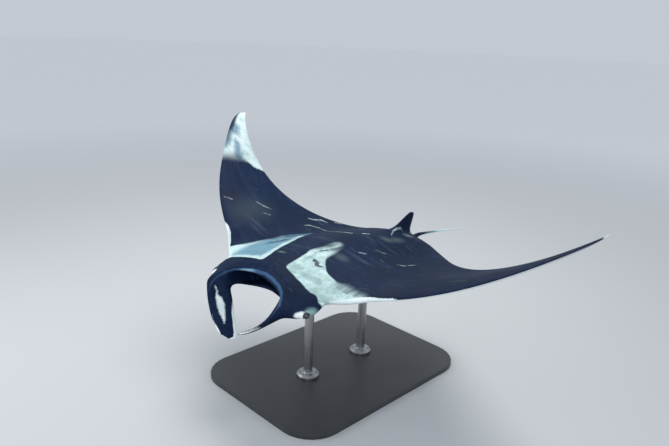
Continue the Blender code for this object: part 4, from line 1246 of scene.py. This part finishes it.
def eye_mesh(finish):
    """A ball turned round its own axis, with the cornea raised at the front."""
    shape = bmesh.new()
    rings = []
    for k in range(1, EYE_RINGS):
        a = math.pi * k / EYE_RINGS
        rise = CORNEA_RISE * math.exp(-(a / CORNEA_REACH)**2)
        r = EYE_RADIUS - CORNEA_RISE + rise
        rings.append(ring_of(shape, r * math.sin(a), EYE_SIDES, r * math.cos(a)))
    bridge(shape, rings)
    for ring, level in ((rings[0], EYE_RADIUS), (rings[-1], CORNEA_RISE - EYE_RADIUS)):
        pole = shape.verts.new((0, 0, level))
        for k in range(EYE_SIDES):
            shape.faces.new([ring[k], ring[(k + 1) % EYE_SIDES], pole])
    return smooth_mesh(shape, "eye", finish)


eye_glass = eye_finish()
for side, word in ((1, "left"), (-1, "right")):
    axis = EYE_AXIS * Vector((side, 1, 1))
    level = Vector((0, 0, 1)).cross(axis).normalized()
    turn = Matrix((level, axis.cross(level), axis)).transposed().to_4x4()
    eye = put("eyeball_" + word, eye_mesh(eye_glass))
    low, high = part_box("eye_" + word)
    eye.matrix_world = Matrix.Translation((low + high) / 2) @ turn
    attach(eye, "root")
    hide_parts("eye_" + word)


# Studio. A pale floor, soft light from above and both sides, and a camera ahead of the animal's
# left shoulder, a little above it.

FLOOR = (0.57, 0.58, 0.59)
FLOOR_SHADE = (0.54, 0.55, 0.562)
# the far floor, painted brighter for the lamp light that doesn't reach it
FLOOR_FAR_LIT = (0.97, 0.97, 0.97)
FLOOR_REACH = 60.0
FLOOR_SIDES = 96
SKY = {"Color": (0.8, 0.86, 0.94, 1.0), "Strength": 0.68}
LAMPS = (("key", (-1.5, 1.0, 5.2), 3.2, 165.0, (1.0, 0.99, 0.97)),
         ("fill", (3.2, -3.6, 2.6), 2.6, 52.0, (0.93, 0.97, 1.0)),
         ("front", (-2.6, -4.0, 2.2), 2.2, 48.0, (0.95, 0.98, 1.0)))
LAMPS_AIM = (0, -0.3, 0.8)
CAMERA_PLACE = (0.78, -0.583, 0.4314)      # in disc widths, from the flat body's origin
CAMERA_RIGHT = (0.70295, 0.71003, 0.04142)
CAMERA_UP = (-0.24041, 0.1824, 0.95338)
LENS = 34.42
FILM_WIDTH = 36.0

pale_floor = Finish("studio_floor", Roughness=0.85, Specular_IOR_Level=0.1)
tone = pale_floor.noise(pale_floor.place(), 1.3, 5.0)
away = pale_floor.vectors("LENGTH", pale_floor.place(), gives="Value")
near = pale_floor.blend(tone * 0.25, FLOOR, FLOOR_SHADE)
# painted light: the floor grows brighter far off, where the lamps don't reach, to meet the sky
pale_floor.colour(pale_floor.blend(pale_floor.step(away, 2.5, 12.0), near, FLOOR_FAR_LIT))
floor_shape = bmesh.new()
floor_shape.faces.new(ring_of(floor_shape, FLOOR_REACH, FLOOR_SIDES, 0.0))
floor_mesh = mesh_of(floor_shape, "studio_floor")
floor_mesh.materials.append(pale_floor.material)
put("studio_floor", floor_mesh)

world = bpy.data.worlds.new("studio")
world.use_nodes = True
for name, value in SKY.items():
    world.node_tree.nodes["Background"].inputs[name].default_value = value
bpy.context.scene.world = world

for word, place, width, power, tint in LAMPS:
    lamp = bpy.data.lights.new("softbox_" + word, "AREA")
    lamp.shape = "DISK"
    lamp.size = width
    lamp.energy = power
    lamp.color = tint
    box = put("softbox_" + word, lamp)
    box.location = place
    box.rotation_mode = "QUATERNION"
    box.rotation_quaternion = (Vector(LAMPS_AIM) - Vector(place)).to_track_quat("-Z", "Y")

right = Vector(CAMERA_RIGHT).normalized()
back = right.cross(Vector(CAMERA_UP)).normalized()
up = back.cross(right)
lens = bpy.data.cameras.new("camera")
lens.sensor_width = FILM_WIDTH
lens.lens = LENS
camera = put("camera", lens)
camera.matrix_world = Matrix((right, up, back)).transposed().to_4x4()
camera.location = origin + Vector(CAMERA_PLACE) * DISC_WIDTH
bpy.context.scene.camera = camera
bpy.context.scene.view_settings.view_transform = "Standard"
